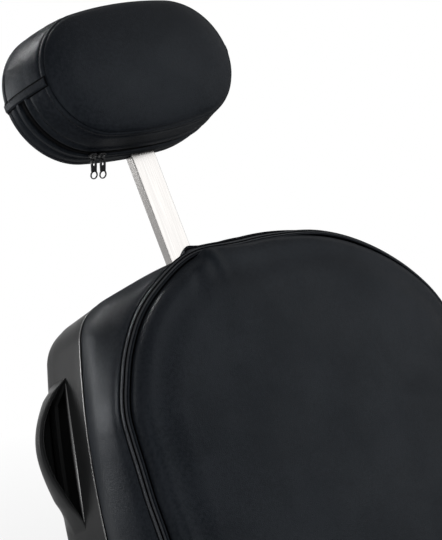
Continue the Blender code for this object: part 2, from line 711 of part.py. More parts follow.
lever_axis = axis_empty("release_axis", (0.0, LEVER_Y, LEVER_Z), parent=swivel_axis)
boss_x = -(RAIL_X + 0.5 * RAIL_W + FIT)
release = rod("release_lever", LEVER_R, -LEVER_OUT, boss_x, "chrome", "X", count=16)
grip_path = [(-LEVER_OUT + LEVER_R, 0.002, 0.0), (-LEVER_OUT + LEVER_R, -LEVER_RUN, LEVER_RISE)]
arm = swept("arm", grip_path, (1, 0, 0), LEVER_R - 0.0006, LEVER_R - 0.001, None, edge=0.002)
combine(release, [arm], "UNION")
release.parent = lever_axis
knob_turn = math.atan2(LEVER_RISE, LEVER_RUN + 0.002)
knob_seat = axis_empty("release_knob_seat", (-LEVER_OUT + LEVER_R, -LEVER_RUN, LEVER_RISE),
                       (0.5 * math.pi - knob_turn, 0, 0), lever_axis)
knob_bore = 0.0085
turned("release_knob", [(0.0, FIT), (knob_bore, FIT), (knob_bore, -0.022), (0.0115, -0.022), (0.0150, 0.002),
                        (0.0140, 0.014), (0.0080, 0.022), (0.0, 0.023)], "knob_plastic", 24,
       parent=knob_seat)

# The cushion's seam has an arched top and straight sides; the shell widens downward with round shoulders

BACK_COUNT = 56


def seam_outline(count):
    points = []
    shoulder = BACK_TOP - BACK_ARCH
    for a in np.linspace(0.0, math.pi, 73):
        points.append((BACK_HALF * math.cos(a), shoulder + BACK_ARCH * math.sin(a)))
    low_half = BACK_HALF + BACK_SPREAD * (shoulder - BACK_LOW - BACK_CORNER)
    for x, turn in ((-1.0, math.pi), (1.0, 1.5 * math.pi)):
        for a in np.linspace(turn, turn + 0.5 * math.pi, 13):
            points.append((x * (low_half - BACK_CORNER) + BACK_CORNER * math.cos(a),
                           BACK_LOW + BACK_CORNER + BACK_CORNER * math.sin(a)))
    return evenly_from_top(np.array(points), count)


def evenly_from_top(points, count):
    """Even points round a symmetric outline, the first at the middle of the top."""
    top = int(np.argmax(points[:, 1] - 0.001 * np.abs(points[:, 0])))
    return evenly(np.roll(points, -top, axis=0), count)


def rounded_meet(first, second, radius, steps=9):
    """Join two curves that cross by an arc on their inner side; each runs counter-clockwise."""
    ways = []
    for curve in (first, second):
        run = np.gradient(curve, axis=0)
        inward = np.column_stack([-run[:, 1], run[:, 0]])
        ways.append(inward / np.linalg.norm(inward, axis=1)[:, None])
    inner_a = first + ways[0] * radius
    inner_b = second + ways[1] * radius
    away = np.linalg.norm(inner_a[:, None, :] - inner_b[None, :, :], axis=2)
    i, j = np.unravel_index(int(np.argmin(away)), away.shape)
    centre = 0.5 * (inner_a[i] + inner_b[j])
    start = math.atan2(*(first[i] - centre)[::-1])
    end = math.atan2(*(second[j] - centre)[::-1])
    while end < start:
        end += 2.0 * math.pi
    bend = [centre + radius * np.array((math.cos(a), math.sin(a))) for a in np.linspace(start, end, steps)]
    return i, j, bend


def shell_outline(count):
    b = np.linspace(SHELL_LOW, SHELL_TOP, 420)
    side = np.column_stack([SHELL_HALF - SHELL_SIDE_DRAW * (b - SHELL_WAIST) ** 2, b])
    x = np.linspace(SHELL_HALF, 0.0, 300)
    top = np.column_stack([x, SHELL_TOP - SHELL_TOP_DROP * x ** 2])
    base = np.column_stack([x[::-1], np.full(len(x), SHELL_LOW)])
    k, i, corner = rounded_meet(base, side, SHELL_CORNER)
    m, n, shoulder = rounded_meet(side, top, SHELL_SHOULDER)
    half = np.vstack([base[:k:6], corner, side[i + 1:m:6], shoulder, top[n + 1::6], top[-1:]])
    other = half[::-1][1:-1] * np.array((-1.0, 1.0))
    return evenly_from_top(np.vstack([half, other]), count)


seam_line = seam_outline(BACK_COUNT)
seam_normal = outward(seam_line)
shell_line = shell_outline(BACK_COUNT)
shell_normal = outward(shell_line)
back_centre = np.array([0.0, 0.5 * (BACK_TOP + BACK_LOW)])


def shell_out(f):
    """Offset of the wall's outer face from the rim's outline: a light draft, then a turn at the rear."""
    turn = SHELL_TURN * max(0.0, SHELL_TURN_F - f) / (SHELL_TURN_F - SHELL_REAR_F)
    return -SHELL_TAPER * (RIM_F - f) - turn


def shell_ring(offset, f, shrink=1.0):
    flat = shell_line + shell_normal * offset
    flat = back_centre + (flat - back_centre) * shrink
    return np.column_stack([flat[:, 0], np.full(BACK_COUNT, -f), flat[:, 1]])


def seam_ring(toward_shell, offset, f, shrink=1.0):
    """Ring between the seam's outline (0) and the shell's (1); the seam's plane leans forward going down."""
    flat = seam_line + (shell_line - seam_line) * toward_shell
    away = outward(flat)
    ease = 1.0 - TOP_EASE * np.clip(away[:, 1], 0.0, 1.0) if offset > 0.0 else 1.0
    flat = flat + away * (offset * np.reshape(ease, (-1, 1)))
    flat = back_centre + (flat - back_centre) * shrink
    lean = SEAM_LEAN * (SEAM_LEVEL - flat[:, 1]) * (1.0 - toward_shell)
    return np.column_stack([flat[:, 0], -(f + lean), flat[:, 1]])


# Back shell: a tray round the cushion, with slots for the arms and the bar and a hole for the clamp stud

rear_out = shell_out(SHELL_REAR_F)
wall = SHELL_WALL
shell_rings = [
    shell_ring(0.0, SHELL_BACK_F - SHELL_BELLY, 0.30),
    shell_ring(0.0, SHELL_BACK_F - 0.8 * SHELL_BELLY, 0.62),
    shell_ring(-0.028, SHELL_BACK_F),
    shell_ring(rear_out - 0.009, SHELL_BACK_F + 0.004),
    shell_ring(rear_out, SHELL_REAR_F),
    shell_ring(shell_out(SHELL_TURN_F), SHELL_TURN_F),
    shell_ring(0.0, RIM_F - 0.0015),
    shell_ring(-0.0015, RIM_F),
    shell_ring(-wall, RIM_F),
    shell_ring(shell_out(SHELL_TURN_F) - wall, SHELL_TURN_F),
    shell_ring(rear_out - wall, SHELL_REAR_F + 0.003),
    shell_ring(rear_out - 0.012, SHELL_BACK_F + 0.008),
    shell_ring(-0.030, SHELL_BACK_F + wall),
    shell_ring(0.0, SHELL_BACK_F + wall - 0.8 * SHELL_BELLY, 0.62),
    shell_ring(0.0, SHELL_BACK_F + wall - SHELL_BELLY, 0.30),
]
shell = stack("back_shell", shell_rings, "shell_plastic")
cuts = []
for side in (-1, 1):
    x = side * 0.5 * (arm_in + arm_out)
    slot_size = (HINGE_T + 0.003, 2 * bar_half + 0.003, 0.060)
    cuts.append(slab("arm_slot", slot_size, (x, -bar_mid, SHELL_LOW), None))
slot_f = BAR_F - 0.5 * BAR_T
cuts.append(slab("bar_slot", (BAR_W + 0.002, BAR_T + 0.002, 0.050), (0.0, -slot_f, SHELL_TOP), None))
stud_hole = rod("stud_hole", STUD_R + 0.0015, -SHELL_BACK_F - 0.015, -SHELL_BACK_F + 0.020, None, "Y",
                (0.0, 0.0, KNOB_B))
cuts.append(stud_hole)
screw_b = (0.130, 0.370)
screw_x = 0.5 * (arm_in + arm_out)
for side in (-1, 1):
    for b in screw_b:
        cuts.append(rod("screw_hole", 0.0028, -SHELL_BACK_F - 0.015, -SHELL_BACK_F + 0.020, None, "Y",
                        (side * screw_x, 0.0, b), 12))
# a finger window behind each grip; its front edge bows forward
window_b = np.linspace(GRIP_LOW + 0.004, GRIP_TOP - 0.004, 9)
window_u = (window_b - window_b[0]) / (window_b[-1] - window_b[0])
window = [(GRIP_F + GRIP_EDGE_BOW * math.sin(math.pi * u) - 0.001, b) for u, b in zip(window_u, window_b)]
window += [(WINDOW_REAR_F, GRIP_TOP - 0.022), (WINDOW_REAR_F, GRIP_LOW + 0.022)]
for side in (-1, 1):
    middle = side * SHELL_HALF
    outline = [(-f, b) for f, b in window]
    cuts.append(prism("finger_window", outline, middle - 0.075, middle + 0.075, None, "X"))
combine(shell, cuts, "DIFFERENCE")
shell.parent = back_axis

screw_head = -(SHELL_BACK_F - SHELL_BELLY) + FIT
screw_tip = -ARM_F_LOW + FIT
for side, word in ((-1, "right"), (1, "left")):
    for b, level in zip(screw_b, ("lower", "upper")):
        screw = turned("shell_screw_" + level + "_" + word,
                       [(0.0, screw_tip), (0.0025, screw_tip), (0.0025, screw_head), (0.0055, screw_head),
                        (0.0050, screw_head + 0.002), (0.0025, screw_head + 0.0035),
                        (0.0, screw_head + 0.0035)],
                       "zinc_steel", 14)
        turn_to(screw, "Y")
        screw.location = (side * screw_x, 0.0, b)
        screw.parent = back_axis

board_ring = shell_ring(shell_out(BOARD_F) - SHELL_WALL - 0.0005, 0.0)
prism("back_board", board_ring[:, [0, 2]], -BOARD_F, -(BOARD_F + BOARD_T), "plywood", "Y", parent=back_axis)

# Back cushion: swelling border, raised double seam and a sewn front panel with a soft crown

cushion_f = BOARD_F + BOARD_T + FIT
in_shell = shell_out(cushion_f) - SHELL_WALL - 0.0008
swell_f = SEAM_F - RIM_F
cushion = [
    shell_ring(0.0, cushion_f, 0.45),
    shell_ring(in_shell - 0.006, cushion_f),
    shell_ring(in_shell, cushion_f + 0.004),
    shell_ring(-SHELL_WALL - 0.001, RIM_F),
    seam_ring(1.0, -0.0005, RIM_F + 0.004),
    seam_ring(0.90, 0.80 * BULGE, RIM_F + 0.20 * swell_f),
    seam_ring(0.70, BULGE, RIM_F + 0.40 * swell_f),
    seam_ring(0.45, BULGE, RIM_F + 0.60 * swell_f),
    seam_ring(0.20, 0.85 * BULGE, RIM_F + 0.78 * swell_f),
    seam_ring(0.0, 0.0085, SEAM_F - 0.0100),
    seam_ring(0.0, 0.0055, SEAM_F - 0.0045),
    seam_ring(0.0, 0.0028, SEAM_F - 0.0025),
    seam_ring(0.0, 0.0, SEAM_F - 0.0060),
    seam_ring(0.0, -0.0040, SEAM_F - 0.0005),
    seam_ring(0.0, -0.0140, SEAM_F + 0.35 * CROWN_RISE),
    seam_ring(0.0, -0.0350, SEAM_F + 0.60 * CROWN_RISE),
    seam_ring(0.0, 0.0, SEAM_F + 0.90 * CROWN_RISE, 0.60),
    seam_ring(0.0, 0.0, SEAM_F + CROWN_RISE, 0.28),
]
stack("back_cushion", cushion, "leather", parent=back_axis)

# Side grips: a lip swells out of the shell's wall and leaves a finger gap that opens forward

GRIP_ROWS = 15
GRIP_COLS = 6
GRIP_RISE = 0.75
GRIP_FALL = 1.2
peak = GRIP_RISE / (GRIP_RISE + GRIP_FALL)
dense_line = shell_outline(720)
dense_normal = outward(dense_line)


def wall_x(b, f):
    ring = dense_line + dense_normal * shell_out(f)
    keep = (ring[:, 0] > 0.0) & (ring[:, 1] > SHELL_LOW + SHELL_CORNER) & (dense_normal[:, 0] > 0.3)
    order = np.argsort(ring[keep][:, 1])
    return float(np.interp(b, ring[keep][order, 1], ring[keep][order, 0]))


def swell(u):
    if u <= 0.0 or u >= 1.0:
        return 0.0
    return (u / peak) ** GRIP_RISE * ((1.0 - u) / (1.0 - peak)) ** GRIP_FALL


for side, word in ((-1, "right"), (1, "left")):
    skins = ([], [])
    for i in range(GRIP_ROWS):
        u = 0.5 - 0.5 * math.cos(math.pi * i / (GRIP_ROWS - 1))
        b = GRIP_TOP + (GRIP_LOW - GRIP_TOP) * u
        for j in range(GRIP_COLS):
            v = j / (GRIP_COLS - 1)
            f = GRIP_F - GRIP_DEPTH * v
            out = GRIP_BULGE * swell(u) * max(0.0, math.cos(0.5 * math.pi * v)) ** 0.8
            near = wall_x(b, f) + 2.0 * FIT + out
            thick = 0.0008 + (GRIP_WALL - 0.0008) * min(1.0, out / 0.012)
            skins[0].append((side * near, -f, b))
            skins[1].append((side * (near + thick), -f, b))
    total = GRIP_ROWS * GRIP_COLS
    verts = skins[0] + skins[1]
    faces = []
    for i in range(GRIP_ROWS - 1):
        for j in range(GRIP_COLS - 1):
            a = i * GRIP_COLS + j
            quad = (a, a + 1, a + GRIP_COLS + 1, a + GRIP_COLS)
            faces.append(quad[::-1])
            faces.append(tuple(total + q for q in quad))
    edge = [i * GRIP_COLS for i in range(GRIP_ROWS)]
    edge += [(GRIP_ROWS - 1) * GRIP_COLS + j for j in range(1, GRIP_COLS)]
    edge += [i * GRIP_COLS + GRIP_COLS - 1 for i in range(GRIP_ROWS - 2, -1, -1)]
    edge += [j for j in range(GRIP_COLS - 2, 0, -1)]
    for p, q in zip(edge, edge[1:] + edge[:1]):
        faces.append((p, q, total + q, total + p))
    add("back_grip_" + word, verts, faces, "shell_plastic", parent=back_axis)

# Headrest socket, crossbar and clamp knob in the back

gap = SOCKET_SLIDE
socket_x = 0.5 * BAR_W + gap + SOCKET_WALL
socket_f_in = 0.5 * BAR_T + gap
socket = swept("headrest_socket", [(0.0, -slot_f, SOCKET_LOW), (0.0, -slot_f, SOCKET_TOP)], (1, 0, 0),
               socket_x, socket_f_in + SOCKET_WALL, "zinc_steel", wall=SOCKET_WALL)
stud_way = rod("stud_way", STUD_R + FIT, 0.0, 0.03, None, "Y", (0.0, -slot_f + 0.002, KNOB_B), 16)
combine(socket, [stud_way], "DIFFERENCE")
socket.parent = back_axis
cross_f = slot_f - socket_f_in - SOCKET_WALL - FIT
slab("back_crossbar", (2 * torque_half, CROSSBAR_T, CROSSBAR_H),
     (0.0, -cross_f + 0.5 * CROSSBAR_T, CROSSBAR_B), "zinc_steel", 0.001, parent=back_axis)

knob_axis = axis_empty("knob_axis", (0.0, 0.0, KNOB_B), parent=back_axis)
knob_low = -(SHELL_BACK_F - SHELL_BELLY) + 0.002
KNOB_COUNT = 30
stud_tip = -(BAR_F - BAR_T) + FIT
knob_steps = [(STUD_R, stud_tip, 0.0), (STUD_R, knob_low, 0.0), (0.80 * KNOB_R, knob_low, 0.0),
              (KNOB_R, knob_low + 0.004, 0.09), (KNOB_R, knob_low + 0.013, 0.09),
              (0.85 * KNOB_R, knob_low + 0.018, 0.05), (0.4 * KNOB_R, knob_low + 0.020, 0.0)]
knob_rings = []
for r, y, lobe in knob_steps:
    turn = [2.0 * math.pi * i / KNOB_COUNT for i in range(KNOB_COUNT)]
    knob_rings.append([(r * (1 + lobe * math.cos(6 * a)) * math.cos(a), y,
                        r * (1 + lobe * math.cos(6 * a)) * math.sin(a)) for a in turn])
stack("clamp_knob", knob_rings, "knob_plastic", parent=knob_axis)

# Headrest: flat bar, board, pad with zip

head_axis = axis_empty("headrest_axis", (0.0, -slot_f, PAD_B), parent=back_axis)
slab("headrest_bar", (BAR_W, BAR_T, BAR_TOP - BAR_LOW), (0.0, 0.0, 0.5 * (BAR_TOP + BAR_LOW) - PAD_B),
     "bar_steel", 0.0008, parent=head_axis)
head_f = 0.5 * BAR_T + FIT
slab("headrest_board", (HEAD_BOARD[0], HEAD_BOARD[2], HEAD_BOARD[1]),
     (0.0, -head_f - 0.5 * HEAD_BOARD[2], 0.0),
     "plywood", parent=head_axis)

PAD_COUNT = 52
PAD_DEPTH = PAD_SEAM_F - PAD_REAR_F


def pad_arcs(grow_w, grow_h):
    """Centres and radii of the pad's four-arc oval: end arcs, flat arcs and the angle where they meet."""
    half_w = 0.5 * PAD_W + grow_w
    half_h = 0.5 * PAD_H + grow_h
    end = PAD_END_R + grow_h
    end_x = half_w - end
    flat = (end_x ** 2 + half_h ** 2 - end ** 2) / (2.0 * (half_h - end))
    return end_x, end, flat - half_h, flat, math.atan2(end_x, flat - half_h)


def pad_outline(grow_w, grow_h, steps=24):
    end_x, end, flat_b, flat, meet = pad_arcs(grow_w, grow_h)
    points = []
    for a in np.linspace(-meet, meet, steps, endpoint=False):
        points.append((flat * math.sin(a), flat_b - flat * math.cos(a)))
    for a in np.linspace(meet, math.pi - meet, 2 * steps, endpoint=False):
        points.append((end_x + end * math.sin(a), -end * math.cos(a)))
    for a in np.linspace(-meet, meet, steps, endpoint=False):
        points.append((-flat * math.sin(a), -flat_b + flat * math.cos(a)))
    for a in np.linspace(math.pi + meet, 2.0 * math.pi - meet, 2 * steps, endpoint=False):
        points.append((-end_x + end * math.sin(a), -end * math.cos(a)))
    return np.array(points)


def flare(f):
    """Share of the band's widening reached at a depth behind the front seam."""
    return math.sin(0.5 * math.pi * min(1.0, (PAD_SEAM_F - f) / (0.92 * PAD_DEPTH)))


def drop(f):
    """Sag of the band below the front seam at a depth behind it."""
    return PAD_DROP * (PAD_SEAM_F - f) / PAD_DEPTH


def pad_ring(f, inset=0.0, shrink=1.0, flared_at=None):
    depth = min(f if flared_at is None else flared_at, PAD_SEAM_F)
    grow = flare(depth)
    outline = pad_outline(PAD_FLARE_W * grow - inset, PAD_FLARE_H * grow - inset)
    flat = evenly(outline, PAD_COUNT) * shrink
    return np.column_stack([flat[:, 0], np.full(PAD_COUNT, slot_f - f), flat[:, 1] - drop(depth)])


pad_rings = [
    pad_ring(PAD_REAR_F, 0.0, 0.45),
    pad_ring(PAD_REAR_F, 0.010),
    pad_ring(PAD_REAR_F + 0.0015, 0.0035),
    pad_ring(PAD_REAR_F + 0.0060),
    pad_ring(ZIP_F - 0.0075),
    pad_ring(ZIP_F - 0.0045, ZIP_SINK, 1.0, ZIP_F),
    pad_ring(ZIP_F + 0.0045, ZIP_SINK, 1.0, ZIP_F),
    pad_ring(ZIP_F + 0.0075),
    pad_ring(0.052),
    pad_ring(PAD_SEAM_F - 0.003, -0.0005),
    pad_ring(PAD_SEAM_F, 0.0008),
    pad_ring(PAD_SEAM_F + 0.0015, 0.003),
    pad_ring(PAD_SEAM_F + 0.0015, 0.006),
    pad_ring(PAD_SEAM_F + 0.0060, 0.014),
    pad_ring(PAD_SEAM_F + 0.0115, 0.032),
    pad_ring(PAD_CROWN_F, 0.0, 0.28),
]
pad = stack("headrest_pad", pad_rings, "leather")
bar_cut_top = BAR_TOP - PAD_B + 0.001
bar_cut = slab("bar_cut", (BAR_W + 0.0012, BAR_T + 0.0012, 0.20), (0.0, 0.0, bar_cut_top - 0.10), None)
board_cut = slab("board_cut", (HEAD_BOARD[0] + 0.001, HEAD_BOARD[2] + 0.0025, HEAD_BOARD[1] + 0.001),
                 (0.0, -head_f - 0.5 * HEAD_BOARD[2] + 0.0008, 0.0), None)
combine(bar_cut, [board_cut], "UNION")
combine(pad, [bar_cut], "DIFFERENCE")
pad.parent = head_axis

# Zip in the band's groove, from the sitter's right end round underneath to the left end

ZIP_GROW = flare(ZIP_F)
ZIP_B = -drop(ZIP_F)
END_X, END_R, FLAT_B, FLAT_R, MEET = pad_arcs(PAD_FLARE_W * ZIP_GROW, PAD_FLARE_H * ZIP_GROW)
zip_angles = []
for a in np.linspace(-2.0, -MEET, 12):
    zip_angles.append((-END_X, ZIP_B, END_R, a))
for a in np.linspace(-MEET, MEET, 9)[1:]:
    zip_angles.append((0.0, ZIP_B + FLAT_B, FLAT_R, a))
for a in np.linspace(MEET, 2.0, 12)[1:]:
    zip_angles.append((END_X, ZIP_B, END_R, a))
zip_low = FIT + CHORD_SAG - ZIP_SINK
zip_rings = []
for cx, cb, radius, a in zip_angles:
    ring = []
    for lift, f in ((zip_low, ZIP_F - 0.5 * ZIP_W), (zip_low, ZIP_F + 0.5 * ZIP_W),
                    (zip_low + ZIP_T, ZIP_F + 0.3 * ZIP_W), (zip_low + ZIP_T, ZIP_F - 0.3 * ZIP_W)):
        r = radius + lift
        ring.append((cx + r * math.sin(a), slot_f - f, cb - r * math.cos(a)))
    zip_rings.append(ring)
stack("headrest_zip", zip_rings, "zip_tape", parent=head_axis)

slider_lift = zip_low + ZIP_T + FIT
slider_t = 0.0035
bow_mid = slider_t + 0.0031
for word, cx, cb, radius, angle in (("right", -END_X, ZIP_B, END_R, -ZIP_RIGHT),
                                    ("left", 0.0, ZIP_B + FLAT_B, FLAT_R, -ZIP_LEFT)):
    arc_axis = axis_empty("zip_path_" + word, (cx, slot_f - ZIP_F, cb), parent=head_axis)
    reach = radius + slider_lift
    # a slider is a tapered block across the tape, with a small bow that holds the pull
    hold = axis_empty("zip_slider_seat_" + word, (reach * math.sin(angle), 0.0, -reach * math.cos(angle)),
                      (0.0, -angle, 0.0), arc_axis)
    body = slab("zip_slider_" + word, (0.0085, 0.0075, slider_t), (0.0, 0.0, -0.5 * slider_t - 0.0004),
                "zip_metal", 0.0012)
    bow = slab("bow", (0.0018, 0.0064, BOW_H), (0.0, 0.0, -slider_t - 0.5 * BOW_H + 0.0012), None, 0.0006)
    combine(body, [bow], "UNION")
    bow_gap = slab("bow_gap", (0.01, 0.0034, BOW_GAP), (0.0, 0.0, -bow_mid), None)
    combine(body, [bow_gap], "DIFFERENCE")
    body.parent = hold
    # the pull hangs plumb from the bow
    swing = axis_empty("zip_pull_axis_" + word,
                       ((reach + bow_mid) * math.sin(angle), 0.0, -(reach + bow_mid) * math.cos(angle)),
                       (RECLINE, 0.0, 0.0), arc_axis)
    neck_half = 0.5 * PULL_W - 0.0003
    outline = [(-neck_half, 0.0006), (-neck_half, -0.0075), (-0.0021, -0.0105),
               (-0.0021, -PULL_LENGTH + 0.0085)]
    outline += [(PULL_RING * math.cos(a), -PULL_LENGTH + PULL_RING + PULL_RING * math.sin(a))
                for a in np.linspace(math.radians(150), math.radians(390), 15)]
    outline += [(0.0021, -PULL_LENGTH + 0.0085), (0.0021, -0.0105), (neck_half, -0.0075),
                (neck_half, 0.0006)]
    pull = prism("zip_pull_" + word, outline, -0.5 * PULL_T, 0.5 * PULL_T, "zip_metal", "Y")
    slot = slab("slot", (0.0047, 0.01, 0.0066), (0.0, 0.0, -0.0006 - 0.0033), None)
    ring_hole = rod("ring_hole", PULL_RING - 0.0019, -0.01, 0.01, None, "Y",
                    (0.0, 0.0, -PULL_LENGTH + PULL_RING), 14)
    combine(pull, [slot, ring_hole], "DIFFERENCE")
    pull.parent = swing
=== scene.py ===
import math

import bmesh
import bpy
import numpy as np
from mathutils import Matrix, Vector


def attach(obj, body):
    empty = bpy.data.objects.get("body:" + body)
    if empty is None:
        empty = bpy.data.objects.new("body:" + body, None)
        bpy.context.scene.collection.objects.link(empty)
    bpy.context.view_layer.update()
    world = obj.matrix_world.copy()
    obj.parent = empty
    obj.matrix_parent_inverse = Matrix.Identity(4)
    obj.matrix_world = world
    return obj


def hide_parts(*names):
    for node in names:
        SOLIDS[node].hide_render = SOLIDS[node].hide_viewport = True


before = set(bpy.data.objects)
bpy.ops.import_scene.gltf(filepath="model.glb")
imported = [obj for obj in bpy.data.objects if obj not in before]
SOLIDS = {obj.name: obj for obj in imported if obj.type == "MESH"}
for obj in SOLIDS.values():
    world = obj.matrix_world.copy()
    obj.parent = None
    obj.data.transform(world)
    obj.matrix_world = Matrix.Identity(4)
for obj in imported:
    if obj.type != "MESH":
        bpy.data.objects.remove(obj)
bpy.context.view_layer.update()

# Sizes of the chair, in metres

FIT = 0.0003
RECLINE = math.radians(33.0)
HINGE = np.array((0.0, 0.262, 0.455))
ACROSS = np.array((1.0, 0.0, 0.0))
UP_BACK = np.array((0.0, math.sin(RECLINE), math.cos(RECLINE)))
FORWARD = np.array((0.0, -math.cos(RECLINE), math.sin(RECLINE)))

BACK_TOP, BACK_LOW, BACK_HALF = 0.571, 0.060, 0.2235
BACK_SPREAD, BACK_ARCH, BACK_CORNER = 0.075, 0.157, 0.070
SEAM_F, SEAM_LEAN, SEAM_LEVEL = 0.135, 0.05, 0.50
CROWN_RISE, BULGE, TOP_EASE = 0.020, 0.0165, 0.54
SHELL_TOP, SHELL_TOP_DROP = 0.573, 0.65
SHELL_HALF, SHELL_WAIST, SHELL_SIDE_DRAW = 0.250, 0.208, 0.60
SHELL_LOW, SHELL_SHOULDER, SHELL_CORNER = 0.050, 0.052, 0.070
RIM_F, SHELL_WALL, SHELL_TAPER = 0.050, 0.004, 0.045
SHELL_TURN, SHELL_TURN_F, SHELL_REAR_F = 0.003, -0.010, -0.030
SHELL_BACK_F, SHELL_BELLY = -0.045, 0.006
BOARD_F, BOARD_T = 0.019, 0.012
GRIP_F, GRIP_DEPTH, GRIP_TOP, GRIP_LOW = 0.015, 0.045, 0.500, 0.346
GRIP_BULGE, GRIP_WALL, GRIP_EDGE_BOW, WINDOW_REAR_F = 0.033, 0.0052, 0.004, -0.014
GRIP_RISE, GRIP_FALL = 1.05, 1.65

BAR_W, BAR_T, BAR_F = 0.032, 0.012, 0.015
KNOB_B, KNOB_R, STUD_R = 0.500, 0.021, 0.004
PAD_B, PAD_W, PAD_H, PAD_END_R = 0.798, 0.248, 0.148, 0.070
PAD_SEAM_F, PAD_CROWN_F, PAD_REAR_F = 0.065, 0.081, -0.003
PAD_FLARE_W, PAD_FLARE_H, PAD_DROP = 0.0168, 0.0061, 0.0034
ZIP_F, ZIP_SINK = 0.028, 0.0025

SEAT_HALF, SEAT_FRONT, SEAT_REAR, SEAT_CORNER = 0.250, -0.285, 0.205, 0.065
SEAT_RIM, SEAT_SEAM, SEAT_CROWN, SEAT_WALL = 0.437, 0.489, 0.512, 0.004
SEAT_LOW = 0.3939
ARM_X, ARM_Y, ARM_TOP, ARM_PAD = 0.300, -0.060, 0.672, (0.078, 0.300, 0.034)
FOOT_Y, FOOT_Z, FOOT_R, FOOT_HALF = -0.478, 0.134, 0.016, 0.190
FOOT_SLEEVE_T, FOOT_SLEEVE_IN = 0.005, 0.048
BASE_R, BASE_T, RING_W, RING_H, COVER_RISE = 0.300, 0.010, 0.008, 0.015, 0.046
PUMP_R, PUMP_TOP, FLANGE_R, FLANGE_T = 0.055, 0.250, 0.085, 0.009
RAM_R, RAM_LOW, SLEEVE_R, SLEEVE_LOW, WIPER_TOP = 0.030, 0.045, 0.060, 0.146, 0.262
HUB_R, HUB_LOW, PLATE_LOW = 0.048, 0.270, 0.3453
BAR_MIDDLE_F = BAR_F - 0.5 * BAR_T
SCREW_X, SCREW_LEVELS = 0.1426, ((0.130, "lower"), (0.370, "upper"))
SIDES = ((-1, "right"), (1, "left"))


def shown(name, data):
    thing = bpy.data.objects.new(name, data)
    bpy.context.scene.collection.objects.link(thing)
    return thing


# Camera at the photograph's view: 442 x 540 pixels

PHOTO_TURN, PHOTO_RISE, PHOTO_FOCAL, PHOTO_TALL, SENSOR = -40.4865, 17.8468, 2173.46, 540.0, 36.0
PHOTO_RIGHT, PHOTO_DOWN, PHOTO_AWAY = 0.082, 0.2072, 2.2
# the view was first measured on a bar of 30 mm
BAR_SCALE = 32.0 / 30.0


def place_camera():
    turn, rise = math.radians(PHOTO_TURN), math.radians(PHOTO_RISE)
    right = np.array((math.cos(turn), math.sin(turn), 0.0))
    back = np.array((math.sin(turn) * math.cos(rise), -math.cos(turn) * math.cos(rise), math.sin(rise)))
    up = np.cross(back, right)
    pad_seam = HINGE + PAD_B * UP_BACK + PAD_SEAM_F * FORWARD
    spot = (pad_seam + PHOTO_RIGHT * BAR_SCALE * right - PHOTO_DOWN * BAR_SCALE * up
            + PHOTO_AWAY * BAR_SCALE * back)
    lens = bpy.data.cameras.new("photo_camera")
    lens.sensor_width = SENSOR
    lens.lens = PHOTO_FOCAL * SENSOR / PHOTO_TALL
    lens.clip_start, lens.clip_end = 0.05, 200.0
    camera = shown("photo_camera", lens)
    camera.matrix_world = Matrix([[right[i], up[i], back[i], spot[i]] for i in range(3)] + [[0, 0, 0, 1]])
    bpy.context.scene.camera = camera


place_camera()


# Shared surface effects, each a node group

def put(tree, kind, values=(), **settings):
    node = tree.nodes.new(kind)
    for key, value in settings.items():
        setattr(node, key, value)
    for key, value in dict(values).items():
        if isinstance(value, bpy.types.NodeSocket):
            tree.links.new(value, node.inputs[key])
        else:
            node.inputs[key].default_value = value
    return node


def effect(name, takes, gives):
    group = bpy.data.node_groups.new(name, "ShaderNodeTree")
    for label, start in takes:
        group.interface.new_socket(label, in_out="INPUT", socket_type="NodeSocketFloat").default_value = start
    for label in gives:
        group.interface.new_socket(label, in_out="OUTPUT", socket_type="NodeSocketFloat")
    return group, group.nodes.new("NodeGroupInput"), group.nodes.new("NodeGroupOutput")


def ranged(tree, value, low, high, to_low=0.0, to_high=1.0):
    node = put(tree, "ShaderNodeMapRange", {"Value": value, "From Min": low, "From Max": high,
                                            "To Min": to_low, "To Max": to_high})
    return node.outputs["Result"]


def reckon(tree, how, first, second):
    return put(tree, "ShaderNodeMath", {0: first, 1: second}, operation=how).outputs["Value"]


def object_spot(tree):
    return put(tree, "ShaderNodeTexCoord").outputs["Object"]


def noise(tree, spot, scale, detail, rough=0.5, swirl=0.0):
    return put(tree, "ShaderNodeTexNoise", {"Vector": spot, "Scale": scale, "Detail": detail, "Roughness": rough,
                                            "Distortion": swirl}).outputs


def make_leather_grain():
    """Fine pebbles with soft creases: Height for bump, Tone for slow changes of colour, Fleck for specks."""
    group, take, give = effect("leather_grain", (("Pebble Scale", 640.0), ("Crease Scale", 42.0)),
                               ("Height", "Tone", "Fleck"))
    spot = object_spot(group)
    sway = noise(group, spot, 210.0, 2.0)["Color"]
    moved = put(group, "ShaderNodeVectorMath", {0: sway, 1: (0.0022, 0.0022, 0.0022), 2: spot},
                operation="MULTIPLY_ADD").outputs["Vector"]
    pebble = put(group, "ShaderNodeTexVoronoi", {"Vector": moved, "Scale": take.outputs["Pebble Scale"]},
                 feature="DISTANCE_TO_EDGE")
    dome = ranged(group, pebble.outputs["Distance"], 0.0, 0.30)
    crease = noise(group, spot, take.outputs["Crease Scale"], 4.0, 0.55)["Fac"]
    low = reckon(group, "MULTIPLY", crease, 0.7)
    high = reckon(group, "MULTIPLY", dome, 0.3)
    group.links.new(reckon(group, "ADD", low, high), give.inputs["Height"])
    slow = noise(group, spot, 11.0, 3.0)["Fac"]
    group.links.new(ranged(group, slow, 0.35, 0.65), give.inputs["Tone"])
    fleck = noise(group, moved, 300.0, 1.0)["Fac"]
    group.links.new(ranged(group, fleck, 0.30, 0.70), give.inputs["Fleck"])
    return group


